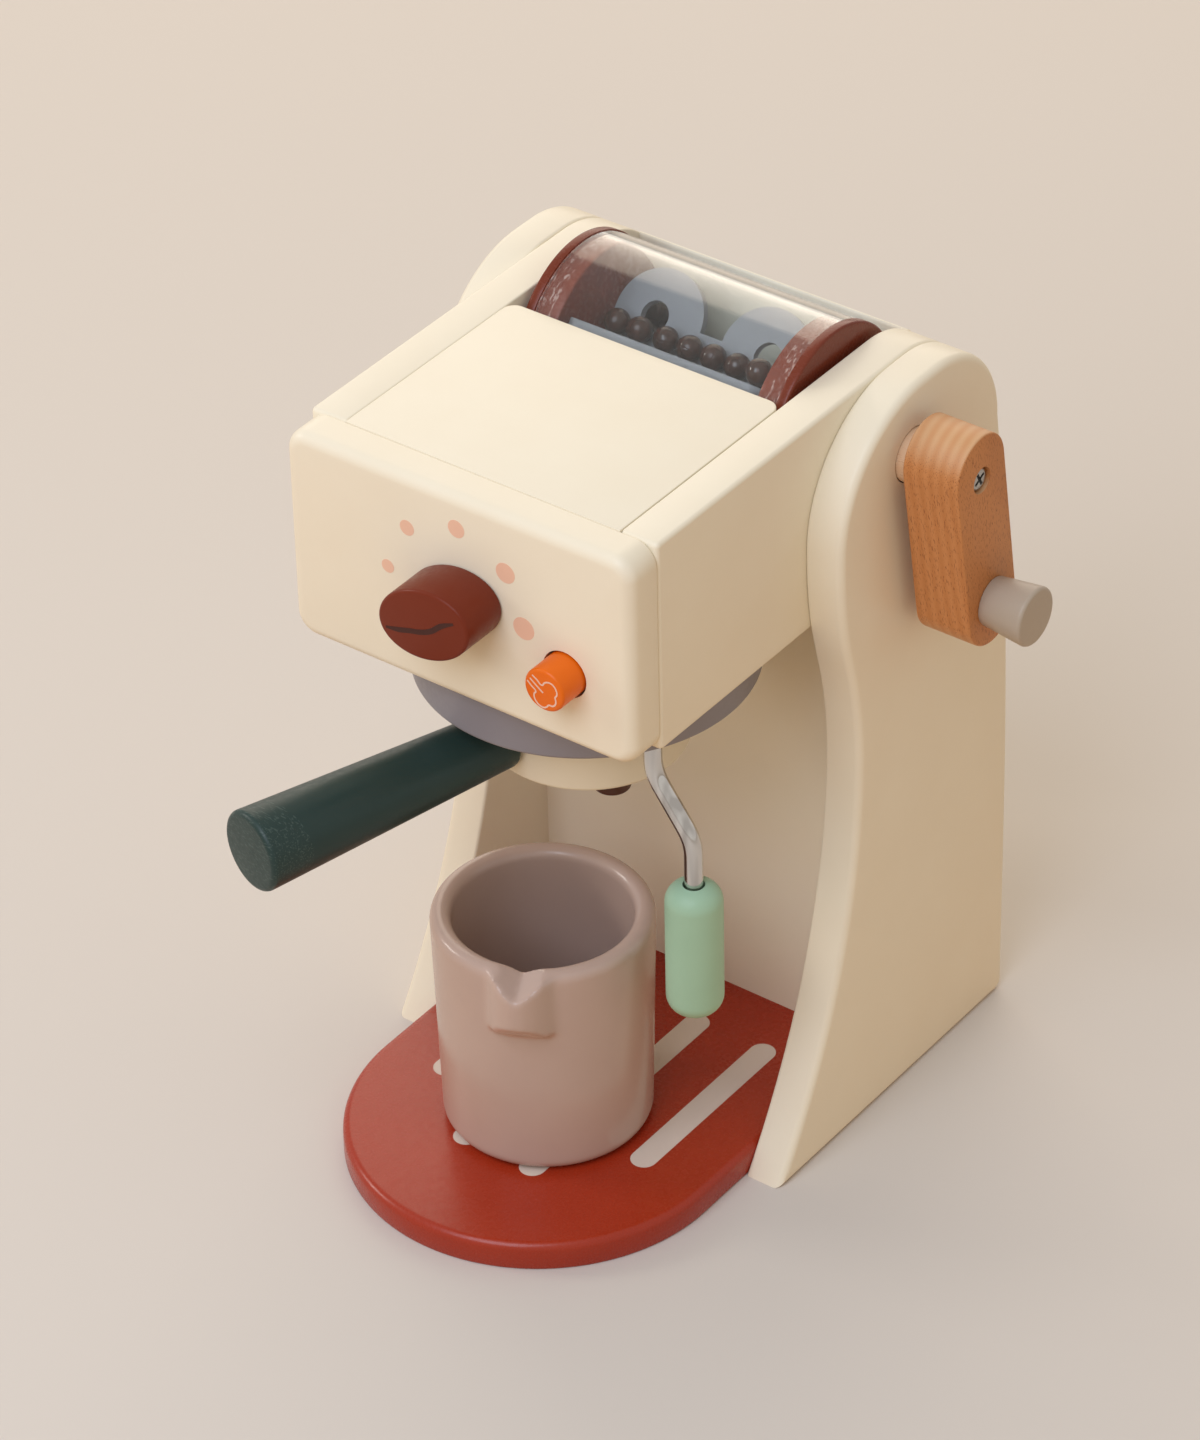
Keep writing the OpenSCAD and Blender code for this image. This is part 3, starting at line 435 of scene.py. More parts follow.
def add_specks(finish, code, size, axis, middle, half, amount):
    """Adds specks to a lacquer, as long and wide as size says, in millimetres.

    They keep to a band on both sides of the origin, half to each side of its middle.
    """
    tree = finish.node_tree
    shader = tree.nodes["Principled BSDF"]
    paint = shader.inputs["Base Color"].links[0].from_socket
    place = add_node(tree, "TexCoord", {}).outputs["Object"]
    parts = add_node(tree, "SeparateXYZ", {0: place})
    reach = add_node(tree, "Math", {"operation": "ABSOLUTE", 0: parts.outputs[axis]})
    band = add_node(tree, "Math", {
        "operation": "COMPARE", 0: reach.outputs[0], 1: middle * MM, 2: half * MM})
    lay = add_node(tree, "Mapping", {"Vector": place, "Scale": [1 / (length * MM) for length in size]})
    specks = add_node(tree, "TexNoise", {"Vector": lay.outputs[0], "Scale": 1, "Detail": 3})
    patches = add_node(tree, "MapRange", {0: specks.outputs[0], 1: 0.54, 2: 0.64, 3: 0, 4: amount})
    mask = add_node(tree, "Math", {"operation": "MULTIPLY", 0: band.outputs[0], 1: patches.outputs[0]})
    tint = add_node(tree, "Mix", {"data_type": "RGBA", 0: mask.outputs[0], 6: paint, 7: shade(code)})
    wire(tree, shader, {"Base Color": tint.outputs[2]})


add_specks(drum_paint, "#C9B3A6", (0.8, 2.4, 2.4), "X", 38.8, 2.2, 0.5)
disc_low, disc_high = span("drum_disc_right")
tube_radius, tube_wall, glue_gap = (drum_high.z - drum_low.z) / 2, 2, 0.05
rim_width, socket_depth, socket_radius = 3, 8, axle_radius + glue_gap
rim_x, disc_radius = disc_high.x - rim_width, (disc_high.z - disc_low.z) / 2
spigot_radius = tube_radius - tube_wall - glue_gap
for side, turned in both_sides:
    disc = axle(turned * rim_x, turned * disc_high.x, disc_radius, 128)
    round_edges(disc, 0.7, 4, lambda e: lies(e, "x", turned * disc_high.x))
    round_edges(disc, 0.25, 2, lambda e: lies(e, "x", turned * rim_x))
    carve(disc, axle(turned * disc_low.x, turned * (rim_x + 1), spigot_radius, 128), "UNION")
    round_edges(disc, 0.6, 3, lambda e: lies(e, "x", turned * disc_low.x))
    carve(disc, axle(turned * (disc_high.x - socket_depth), turned * (disc_high.x + 1), socket_radius))
    fit(disc, "drum_disc_brown_" + side, drum_paint, "brown_paint", "drum", "drum_disc_" + side)

# The tube is extruded clear acrylic with a 2 mm wall. It is polished, with a few hairline
# scratches round it from turning between the panels, and light falls in through it.

acrylic, tree, shader, place = new_finish("clear_acrylic_tube")
scratch_lay = add_node(tree, "Mapping", {
    "Vector": place, "Scale": (1 / (0.4 * MM), 1 / (9 * MM), 1 / (9 * MM))})
scratches = add_node(tree, "TexNoise", {"Vector": scratch_lay.outputs[0], "Scale": 1, "Detail": 3})
haze = add_node(tree, "MapRange", {0: scratches.outputs[0], 1: 0.55, 2: 0.75, 3: 0.02, 4: 0.12})
wire(tree, shader, {
    "Base Color": shade("#F1F4F3"), "Roughness": haze.outputs[0], "IOR": 1.49, "Transmission Weight": 1})
tube = axle(drum_low.x, drum_high.x, tube_radius, 160)
carve(tube, axle(drum_low.x - 1, drum_high.x + 1, tube_radius - tube_wall, 160))
fit(tube, "drum_tube_clear", acrylic, "clear_plastic", "drum", "drum_tube")
tube.visible_shadow = False

# Two plates of frosted acrylic are cut out by laser and slotted into a cross that stirs
# the beans. One has straight edges, the other four lobes with a hole in each.

frosted, tree, shader, place = new_finish("frosted_acrylic_sheet")
frost = add_node(tree, "TexNoise", {"Vector": place, "Scale": 1 / (0.5 * MM), "Detail": 2})
frost_bump = add_node(tree, "Bump", {"Height": frost.outputs[0], "Strength": 0.6, "Distance": 0.02 * MM})
wire(tree, shader, {
    "Base Color": shade("#9C9D9F"), "Roughness": 0.5, "IOR": 1.49, "Transmission Weight": 0.45,
    "Normal": frost_bump.outputs[0]})
plate, plate_tilt, slot_half, slot_end = 2.6, 40, 1.35, 0.1
end_gap, tube_gap, plate_corner = 0.2, 1.5, 6
plate_x, plate_reach = disc_low.x - end_gap, tube_radius - tube_wall - tube_gap
plain_outline = [(-slot_end, slot_half), (plate_x, slot_half)]
plain_outline += round_corners(-plate_x, plate_x, -plate_reach, plate_reach, plate_corner, 8)
plain_outline += [(plate_x, -slot_half), (-slot_end, -slot_half)]
lobe, lobe_z, lobe_hole, hole_shift = 14.4, 10.5, 4.5, 1.2
left_lobe, right_lobe = lobe - plate_x, plate_x - lobe - 2 * hole_shift
lobed_outline = arc((right_lobe, lobe_z), lobe, 0, 180, 28) + arc((left_lobe, lobe_z), lobe, 0, 180, 28)
lobed_outline += [(-plate_x, slot_half), (slot_end, slot_half)]
lobed_outline += [(slot_end, -slot_half), (-plate_x, -slot_half)]
lobed_outline += arc((left_lobe, -lobe_z), lobe, 180, 360, 28)
lobed_outline += arc((right_lobe, -lobe_z), lobe, 180, 360, 28)
plain_plate = saw_board(plain_outline, "y", -plate / 2, plate / 2)
round_edges(plain_plate, 0.25, 2, lambda e: lies(e, "y", -plate / 2) or lies(e, "y", plate / 2))
lobed_plate = saw_board(lobed_outline, "y", -plate / 2, plate / 2)
for hole_x in (right_lobe + hole_shift, left_lobe - hole_shift):
    for hole_z in (lobe_z, -lobe_z):
        carve(lobed_plate, turn_rod((hole_x, -plate, hole_z), (hole_x, plate, hole_z), lobe_hole, sides=48))


def hang(piece, lean):
    """Turns a piece that was made round the x axis, and moves it to the drum's axis."""
    piece.rotation_euler.x = math.radians(lean)
    piece.location = Vector((0, drum_y, drum_z)) * MM


for plate_piece, name, tilt in (
        (plain_plate, "plain", 90 - plate_tilt), (lobed_plate, "lobed", -plate_tilt)):
    hang(plate_piece, tilt)
    fit(plate_piece, "paddle_frosted_" + name, frosted, "frosted_plastic", "drum", "paddle_" + name)

# The play beans are glossy dark brown beads of 7.7 mm, moulded in two halves, so each has
# a fine parting line round it. They lie where the CAD beans lie, each turned its own way.

bead_plastic, tree, shader, place = new_finish("moulded_brown_beads")
bead_shades = add_node(tree, "TexNoise", {"Vector": place, "Scale": 1 / (9 * MM), "Detail": 1})
bead_tint = add_node(tree, "Mix", {
    "data_type": "RGBA", 0: bead_shades.outputs[0], 6: shade("#3E2015"), 7: shade("#2C150D")})
wire(tree, shader, {"Base Color": bead_tint.outputs[2], "Roughness": 0.1, "IOR": 1.5})
copy_node("coffee_beans")
bpy.ops.mesh.separate(type="LOOSE")
random.seed(7)
beads = []
for mark in list(bpy.context.selected_objects):
    corners = [Vector(c) for c in mark.bound_box]
    middle = (corners[0] + corners[6]) / 2
    radius = (corners[6] - corners[0]).z / 2
    bpy.data.objects.remove(mark)
    if not beads:
        bpy.ops.mesh.primitive_uv_sphere_add(segments=28, ring_count=18, radius=radius)
        bead = bpy.context.object
        bpy.ops.object.mode_set(mode="EDIT")
        pick("EDGE", lambda e: lies(e, "z", 0))
        bpy.ops.mesh.bevel(offset=0.14 * MM, segments=2, affect="EDGES")
        pick("EDGE", lambda e: lies(e, "z", 0))
        bpy.ops.transform.resize(value=(0.985, 0.985, 1))
        bpy.ops.object.mode_set(mode="OBJECT")
    else:
        bead = beads[0].copy()
        bead.data = bead.data.copy()
        bpy.context.collection.objects.link(bead)
    bead.location = middle
    bead.rotation_euler = [random.uniform(0, 2 * math.pi) for _ in range(3)]
    beads.append(bead)
fit(join(beads), "play_beans", bead_plastic, "bean_plastic", "drum", "coffee_beans")

# ---- Crank ----
# The drum turns on birch dowels, bare wood with fine grain along them. The right one comes
# out through the side panel and carries the crank; white nylon washers keep it central.


def solid_wood(name, early, late, fleck, end_grain, ring, tilt, pith, roughness):
    """Solid wood with its grain upright: growth rings round a pith outside the piece.

    ring is their spacing in millimetres, tilt turns the grain, and pith says how far off
    its heart was. The flecks are the short dark rays of beech, 0.22 by 1.7 mm.
    """
    finish, tree, shader, place = new_finish(name)
    lay = add_node(tree, "Mapping", {"Vector": place, "Rotation": tilt, "Location": Vector(pith) * MM})
    rings = add_node(tree, "TexWave", {
        "wave_type": "RINGS", "rings_direction": "Z", "Vector": lay.outputs[0],
        "Scale": math.pi / 10 / (ring * MM), "Distortion": 2.2, "Detail": 2, "Detail Scale": 0.35})
    ring_tint = add_node(tree, "Mix", {
        "data_type": "RGBA", 0: rings.outputs["Fac"], 6: shade(early), 7: shade(late)})
    ray_scale = (1 / (0.22 * MM), 1 / (0.22 * MM), 1 / (1.7 * MM))
    ray_lay = add_node(tree, "Mapping", {"Vector": lay.outputs[0], "Scale": ray_scale})
    rays = add_node(tree, "TexNoise", {"Vector": ray_lay.outputs[0], "Scale": 1, "Detail": 1})
    ray_mask = add_node(tree, "MapRange", {0: rays.outputs[0], 1: 0.6, 2: 0.67, 3: 0, 4: 0.75})
    grain = add_node(tree, "Mix", {
        "data_type": "RGBA", 0: ray_mask.outputs[0], 6: ring_tint.outputs[2], 7: shade(fleck)})
    facing = add_node(tree, "SeparateXYZ", {0: add_node(tree, "TexCoord", {}).outputs["Normal"]})
    upright = add_node(tree, "Math", {"operation": "ABSOLUTE", 0: facing.outputs["Z"]})
    end_mask = add_node(tree, "MapRange", {0: upright.outputs[0], 1: 0.25, 2: 0.85, 3: 0, 4: 0.8})
    end_rings = add_node(tree, "MapRange", {0: rings.outputs["Fac"], 1: 0, 2: 1, 3: 0, 4: 0.5})
    end_tint = add_node(tree, "Mix", {
        "data_type": "RGBA", 0: end_rings.outputs[0], 6: shade(end_grain), 7: shade(early)})
    wood = add_node(tree, "Mix", {
        "data_type": "RGBA", 0: end_mask.outputs[0], 6: grain.outputs[2], 7: end_tint.outputs[2]})
    bump = add_node(tree, "Bump", {"Height": rays.outputs[0], "Strength": 0.5, "Distance": 0.03 * MM})
    wire(tree, shader, {
        "Base Color": wood.outputs[2], "Roughness": roughness, "IOR": 1.45, "Normal": bump.outputs[0]})
    return finish


along_x = (0, math.radians(90), 0)
birch = solid_wood(
    "bare_birch_dowel", "#E8C8A6", "#E2BE99", "#D0A57F", "#E6C5A2", 5, along_x, (14, 9, 0), 0.6)
dress(birch, "crank_axle", "drum_stub_axle", "base_dowels", "front_dowels", "spring_block", "dial_spindle")
nylon, tree, shader, place = new_finish("natural_nylon_washer")
nylon_skin = add_node(tree, "TexNoise", {"Vector": place, "Scale": 1 / (0.8 * MM), "Detail": 2})
nylon_tint = add_node(tree, "Mix", {
    "data_type": "RGBA", 0: nylon_skin.outputs[0], 6: shade("#EDE8DE"), 7: shade("#E2DBCD")})
wire(tree, shader, {
    "Base Color": nylon_tint.outputs[2], "Roughness": 0.45, "Subsurface Weight": 0.1,
    "Subsurface Radius": (MM, MM, MM)})
dress(nylon, "axle_washers", "dial_washer", "button_collar")

# The crank arm is 18 mm beech with half-round ends, sanded and oiled. It is pushed on the
# axle and held by a screw in a counterbore; the knob's peg is glued in its lower end.

arm_low, arm_high = span("crank_arm")
arm_half, arm_length, arm_over, arm_lean = 11.55, 43.9, 2.7, 8.7
beech = solid_wood(
    "oiled_beech_arm", "#CB8A54", "#C2804A", "#8A4C28", "#D6AE84", 3.4,
    (math.radians(-arm_lean), math.radians(3), math.radians(28)), (20, -92, 0), 0.5)
arm_outline = arc((0, arm_over), arm_half, 0, 180, 36)
arm_outline += arc((0, -arm_length - arm_over), arm_half, 180, 360, 36)
arm = saw_board(arm_outline, "x", arm_low.x, arm_high.x)
round_edges(arm, 0.55, 3, lambda e: lies(e, "x", arm_low.x) or lies(e, "x", arm_high.x))
counterbore, screw_x, arm_socket = 4, arm_high.x - 3, 8.2
carve(arm, turn_rod((screw_x, 0, 0), (arm_high.x + 1, 0, 0), counterbore, sides=64))
carve(arm, turn_rod((arm_low.x - 1, 0, 0), (arm_low.x + arm_socket, 0, 0), socket_radius, sides=64))
hang(arm, arm_lean)
fit(arm, "crank_arm_beech", beech, "beech", "drum", "crank_arm")

# A zinc-plated cross-head screw with a flat-topped pan head holds the arm.

zinc, tree, shader, place = new_finish("zinc_plated_steel")
zinc_skin = add_node(tree, "TexNoise", {"Vector": place, "Scale": 1 / (0.6 * MM), "Detail": 3})
zinc_rough = add_node(tree, "MapRange", {0: zinc_skin.outputs[0], 1: 0.3, 2: 0.7, 3: 0.24, 4: 0.4})
wire(tree, shader, {"Base Color": shade("#B4B2AE"), "Metallic": 1, "Roughness": zinc_rough.outputs[0]})
dress(
    zinc, "group_screws", "group_magnet", "dial_screw", "button_spring", "portafilter_magnet",
    "wand_collar")
head_radius, face_radius, head_height, shank_radius, shank_length = 3.6, 3.4, 2.2, 2, 12
cross_half, cross_reach, cross_floor = 0.5, 2.3, 0.7
screw_top = screw_x + head_height
screw = turn_rod((screw_x, 0, 0), (screw_top, 0, 0), head_radius, face_radius, sides=48)
round_edges(screw, 0.8, 5, lambda e: lies(e, "x", screw_top))
cross_outline = [
    (-cross_half, -cross_reach), (cross_half, -cross_reach), (cross_half, cross_reach),
    (-cross_half, cross_reach)]
for blade_turn in (20, 110):
    blade = saw_board(cross_outline, "x", screw_x + cross_floor, screw_top + 0.8)
    blade.rotation_euler.x = math.radians(blade_turn)
    carve(screw, blade)
carve(screw, turn_rod((screw_x - shank_length, 0, 0), (screw_x + 0.3, 0, 0), shank_radius, sides=24), "UNION")
hang(screw, arm_lean)
fit(screw, "crank_screw_zinc", zinc, "steel", "drum", "crank_screw")

# The knob flares towards its end. It is turned and dipped in greige paint, and glued in
# the arm with a peg.

knob_paint = lacquer("greige_lacquer", "#BBAF9F", "#B0A393", 0.36, 0.014)
knob_low, knob_high = span("crank_knob")
knob_x, knob_radius, knob_end, peg_radius = arm_high.x, 7.3, 9, 4
knob = turn_rod((knob_x, 0, -arm_length), (knob_high.x, 0, -arm_length), knob_radius, knob_end)
round_edges(knob, 1.3, 5, lambda e: lies(e, "x", knob_high.x))
round_edges(knob, 0.4, 2, lambda e: lies(e, "x", knob_x))
carve(knob, turn_rod(
    (knob_low.x, 0, -arm_length), (knob_x + 0.5, 0, -arm_length), peg_radius, sides=48), "UNION")
hang(knob, arm_lean)
fit(knob, "crank_knob_greige", knob_paint, "greige_paint", "drum", "crank_knob")

# ---- Bean dial ----
# The dial is an oval coffee bean, sawn from wood and sprayed red-brown. The bean's wavy
# split is printed on its face in dark brown.

walnut_paint = lacquer("red_brown_lacquer", "#7A3320", "#702C19", 0.34, 0.012, 0.15)
dial_length, dial_width, dial_turn, spindle_hole, spindle_depth = 31.4, 21.8, 18, 4.05, 8
dial_outline = [
    (dial_length / 2 * math.cos(math.radians(3 * i)), dial_width / 2 * math.sin(math.radians(3 * i)))
    for i in range(120)]
dial = saw_board(dial_outline, "y", dial_low.y, dial_high.y)
round_edges(dial, 1, 4, lambda e: lies(e, "y", dial_low.y))
round_edges(dial, 0.5, 2, lambda e: lies(e, "y", dial_high.y))
carve(dial, turn_rod((0, dial_high.y - spindle_depth, 0), (0, dial_high.y + 1, 0), spindle_hole, sides=48))
dial.rotation_euler.y = math.radians(-dial_turn)
dial.location.z = dial_z * MM
fit(dial, "bean_dial_brown", walnut_paint, "brown_paint", "dial", "bean_dial")
line_depth = 0.05


def draw_line(points, y, half_width, end_share=1):
    """A printed line on a face that looks forward: a smooth path, flattened.

    end_share says how much of its width is left at its ends.
    """
    bpy.ops.object.select_all(action="DESELECT")
    bpy.ops.curve.primitive_bezier_curve_add()
    line = bpy.context.object
    path = line.data.splines[0]
    path.bezier_points.add(len(points) - 2)
    for knot, (x, z) in zip(path.bezier_points, points):
        knot.co = Vector((x, 0, z)) * MM
        knot.handle_left_type = knot.handle_right_type = "AUTO"
    path.bezier_points[0].radius = path.bezier_points[-1].radius = end_share
    line.data.bevel_depth, line.data.bevel_resolution = half_width * MM, 3
    line.data.resolution_u, line.data.use_fill_caps = 10, True
    bpy.ops.object.convert(target="MESH")
    line = bpy.context.object
    for vertex in line.data.vertices:
        vertex.co.y = (y - line_depth if vertex.co.y < 0 else y + print_sink) * MM
    return line


split_paint = lacquer("dark_brown_print", "#45190C", "#3A1409", 0.35, 0.02)
split = draw_line(
    [(-13.6, -1), (-9.4, -1.6), (-5.2, -1.7), (-1.7, -1.9), (2.4, -1.4), (6.8, 0.4), (11.5, 1.3)],
    dial_low.y, 0.85, 0.45)
split.rotation_euler.y = math.radians(-dial_turn)
split.location.z = dial_z * MM
fit(split, "bean_dial_split", split_paint, "dark_brown_paint", "dial")

# ---- Steam button ----
# A turned button, sprayed orange, slides in its hole on a spring. A steam cloud with three
# jets is printed on its face in thin pale lines.

orange_paint = lacquer("orange_lacquer", "#EE7210", "#E66809", 0.34, 0.012)
button_radius = (button_high.x - button_low.x) / 2
button = turn_rod(
    (button_x, button_low.y, button_z), (button_x, button_high.y, button_z), button_radius, sides=80)
round_edges(button, 0.9, 4, lambda e: lies(e, "y", button_low.y))
fit(button, "steam_button_orange", orange_paint, "orange_paint", "button", "steam_button")
icon_paint = lacquer("pale_pink_print", "#F0CDBB", "#E8C0AC", 0.4, 0.02)
strokes = [
    [(-3.7, 3.8), (-2.1, 2.8), (-0.5, 1.7), (0.3, 2.7), (1.3, 3.3), (2.5, 3.4), (3.6, 2.8), (4.3, 1.6),
     (4.4, 0.4), (3.8, -0.7), (4, -1.7), (3.8, -2.9), (2.9, -3.8), (1.6, -4), (0.9, -4.8), (-0.1, -5.4),
     (-1.5, -5.2), (-2.6, -4.3), (-3.2, -3), (-3.1, -1.9), (-2.6, -1.2), (-4, 0.1), (-5.4, 1.4)],
    [(-4.5, 2.5), (-2.4, 0.9), (-0.2, -0.7)]]
icon = [
    draw_line([(button_x + x, button_z + z) for x, z in stroke], button_low.y, 0.25)
    for stroke in strokes]
fit(join(icon), "steam_button_icon", icon_paint, "orange_paint", "button")

# ---- Portafilter ----
# A turned cream cup with a handle, held under the brew group by magnets. The handle is
# turned from wood, thicker at its end, and sprayed dark green; two brown spouts are glued in.

cup_low, cup_high = span("portafilter_head")
cup_radius, cup_magnet_hole = (cup_high.x - cup_low.x) / 2, 9.08
cup = post(group_centre, cup_low.z, cup_high.z, cup_radius, 128)
round_edges(cup, 1.5, 5, lambda e: lies(e, "z", cup_low.z))
round_edges(cup, 0.8, 3, lambda e: lies(e, "z", cup_high.z))
carve(cup, post(group_centre, cup_high.z - magnet_depth, cup_high.z + 1, cup_magnet_hole, 64))
fit(cup, "portafilter_cup_cream", cream_paint, "cream_paint", "portafilter", "portafilter_head")

green_paint = lacquer("dark_green_lacquer", "#2A3F3C", "#243734", 0.38, 0.014)
add_specks(green_paint, "#5F716B", (3, 0.5, 0.5), "Y", 108, 14, 0.3)
handle_turn, handle_reach, handle_root = 16.6, 115, cup_radius + 0.1
handle_radius, handle_end, tenon_start, tenon_radius = 8.6, 12.1, 16, 5
handle = turn_rod((0, -handle_root, 0), (0, -handle_reach, 0), handle_radius, handle_end)
round_edges(handle, 1.8, 6, lambda e: lies(e, "y", -handle_reach))
round_edges(handle, 1.4, 4, lambda e: lies(e, "y", -handle_root))
carve(handle, turn_rod((0, -tenon_start, 0), (0, -handle_root - 1, 0), tenon_radius, sides=48), "UNION")
handle.rotation_euler.z = math.radians(-handle_turn)
handle_low, handle_high = span("portafilter_handle")
handle.location = Vector((*group_centre, (handle_low.z + handle_high.z) / 2)) * MM
fit(handle, "portafilter_handle_green", green_paint, "green_paint", "portafilter", "portafilter_handle")
spout_paint = lacquer("dark_brown_lacquer", "#5C3728", "#4E2D20", 0.36, 0.02)
dress(spout_paint, "portafilter_spouts")

# ---- Steam wand ----
# A 5.4 mm steel rod, bent twice and chrome plated, swivels in the brew group. Its grip is a
# turned wooden bar with round ends, sprayed mint, with a recess round the rod.

chrome, tree, shader, place = new_finish("polished_chrome_plate")
smear = add_node(tree, "TexNoise", {"Vector": place, "Scale": 1 / (5 * MM), "Detail": 3})
smear_rough = add_node(tree, "MapRange", {0: smear.outputs[0], 1: 0.4, 2: 0.7, 3: 0.06, 4: 0.16})
# Painted reflection: long light and dark streaks along the rod are painted into the chrome's colour, in place
# of the surroundings that a plain studio does not give it to mirror.
painted_reflection_lay = add_node(tree, "Mapping", {
    "Vector": place, "Scale": (1 / (3.5 * MM), 1 / (3.5 * MM), 1 / (40 * MM))})
painted_reflection_streaks = add_node(tree, "TexNoise", {"Vector": painted_reflection_lay.outputs[0], "Scale": 1, "Detail": 1})
painted_reflection_mask = add_node(tree, "MapRange", {0: painted_reflection_streaks.outputs[0], 1: 0.42, 2: 0.6, 3: 0, 4: 1})
painted_reflection_tint = add_node(tree, "Mix", {
    "data_type": "RGBA", 0: painted_reflection_mask.outputs[0], 6: shade("#D3D0CC"), 7: shade("#B7B3AF")})
wire(tree, shader, {
    "Base Color": painted_reflection_tint.outputs[2], "Metallic": 1, "Roughness": smear_rough.outputs[0]})
_, rod_high = span("wand_rod")
grip_low, grip_high = span("wand_grip")
rod_radius, bend, rod_in_grip, step = 2.7, 15, 16, (grip_low.x + grip_high.x) / 2 - wand_x
first_drop, slanted_drop = 13.5, 18.5
upper_bend = group_low.z - first_drop
lower_bend = upper_bend - slanted_drop
slant = math.degrees(math.atan2(step, upper_bend - lower_bend))
reach = bend * math.tan(math.radians(slant / 2))
rod_path = [(0, rod_high.z)] + arc((bend, upper_bend + reach), bend, 180, 180 + slant, 12)
rod_path += arc((step - bend, lower_bend - reach), bend, slant, 0, 12)
rod_path += [(step, grip_high.z - rod_in_grip)]
bpy.ops.object.select_all(action="DESELECT")
bpy.ops.curve.primitive_nurbs_path_add()
rod = bpy.context.object
rod.data.splines.clear()
rod_line = rod.data.splines.new("POLY")
rod_line.points.add(len(rod_path) - 1)
for knot, (x, z) in zip(rod_line.points, rod_path):
    knot.co = (*(Vector((wand_x + x, wand_y, z)) * MM), 1)
rod.data.bevel_depth, rod.data.bevel_resolution = rod_radius * MM, 10
rod.data.use_fill_caps = True
bpy.ops.object.convert(target="MESH")
fit(bpy.context.object, "wand_rod_chrome", chrome, "chrome_plate", "steam_wand", "wand_rod")

mint_paint = lacquer("mint_lacquer", "#AACFB4", "#9FC4A9", 0.42, 0.02)
grip_centre, grip_radius = (wand_x + step, wand_y), (grip_high.x - grip_low.x) / 2
recess_radius, recess_depth = 3.2, 4
grip = post(grip_centre, grip_low.z, grip_high.z, grip_radius, 72)
round_edges(grip, 6, 10, lambda e: lies(e, "z", grip_low.z) or lies(e, "z", grip_high.z))
carve(grip, post(grip_centre, grip_high.z - recess_depth, grip_high.z + 1, recess_radius, 40))
fit(grip, "wand_grip_mint", mint_paint, "mint_paint", "steam_wand", "wand_grip")

# ---- Jug ----
# The milk jug is turned from one piece of wood with a thick wall and a round rim. A carved
# pouring lip is glued on with a groove in it, and all of it is sprayed pinkish greige.

jug_low, _ = span("milk_jug")
jug_foot, jug_rim, jug_height, jug_wall, jug_floor = 30.6, 32.4, 73, 6.2, 6


def turn_jug():
    """The turned cup, with its foot on the origin."""
    cup = turn_rod((0, 0, 0), (0, 0, jug_height), jug_foot, jug_rim, sides=192)
    bpy.ops.object.mode_set(mode="EDIT")
    pick("FACE", lambda f: lies(f, "z", jug_height))
    bpy.ops.mesh.inset(thickness=jug_wall * MM, depth=0)
    bpy.ops.mesh.extrude_region_move(
        TRANSFORM_OT_translate={"value": (0, 0, (jug_floor - jug_height) * MM)})
    bpy.ops.object.mode_set(mode="OBJECT")
    round_edges(cup, jug_wall / 2 - 0.05, 8, lambda e: lies(e, "z", jug_height))
    round_edges(cup, 6, 8, lambda e: lies(e, "z", jug_floor))
    round_edges(cup, 4, 6, lambda e: lies(e, "z", 0))
    bpy.ops.object.mode_set(mode="EDIT")
    bpy.ops.mesh.select_all(action="SELECT")
    bpy.ops.mesh.remove_doubles(threshold=TOUCHING * MM)
    bpy.ops.mesh.normals_make_consistent(inside=False)
    bpy.ops.object.mode_set(mode="OBJECT")
    return cup


lip_top, lip_foot, lip_half = jug_height - 0.8, jug_height - 20.8, 10.2
lip_root, lip_tip, lip_slant = 30, jug_rim + 6.6, 8
lip_outline = [
    (-lip_half * math.cos(math.radians(15 * i)),
     -lip_root - (lip_tip - lip_root) * math.sin(math.radians(15 * i)) ** 2)
    for i in range(13)]
lip = saw_board(lip_outline, "z", lip_foot, lip_top)
past_tip = -lip_tip - 2
carve(lip, saw_board(
    [(past_tip, lip_foot - 1), (past_tip, lip_foot + lip_slant), (-jug_rim, lip_foot - 1)], "x", -12, 12))
groove_half, groove_height, groove_lean, groove_sink = 15, 7.6, 12, 2.7
groove = saw_board([(0, 0), (groove_half, groove_height), (-groove_half, groove_height)], "y", -20, 6)
groove.rotation_euler.x = math.radians(groove_lean)
groove.location = Vector((0, -26, jug_height - groove_sink)) * MM


def fuse(piece):
    """Melts the parts of a piece into one skin with a fine, even mesh."""
    bpy.context.view_layer.objects.active = piece
    voxels = piece.modifiers.new("voxels", "REMESH")
    voxels.mode, voxels.voxel_size = "VOXEL", 0.7 * MM
    bpy.ops.object.modifier_apply(modifier=voxels.name)


jug = join([turn_jug(), lip])
fuse(jug)
carve(jug, groove)
fuse(jug)
sanding = jug.modifiers.new("sanding", "SMOOTH")
sanding.factor, sanding.iterations = 0.5, 16
bpy.ops.object.modifier_apply(modifier=sanding.name)
plain_cup = turn_jug()
lip_middle, lip_low, lip_zone, fade = 34, 58, 13, 5
away = jug.vertex_groups.new(name="away_from_lip")
for vertex in jug.data.vertices:
    x, y, z = vertex.co / MM
    distance = math.hypot(x, y + lip_middle, max(lip_low - z, 0))
    away.add([vertex.index], min(max((distance - lip_zone) / fade, 0), 1), "REPLACE")
bpy.context.view_layer.objects.active = jug
wrap = jug.modifiers.new("wrap", "SHRINKWRAP")
wrap.target, wrap.vertex_group = plain_cup, away.name
bpy.ops.object.modifier_apply(modifier=wrap.name)
bpy.data.objects.remove(plain_cup)
lip_turn = 25
jug.rotation_euler.z = math.radians(lip_turn)
jug.location = Vector((-1, -16, jug_low.z)) * MM
jug_paint = lacquer("pinkish_greige_lacquer", "#C4ACA0", "#BBA296", 0.22, 0.012, 0.5)
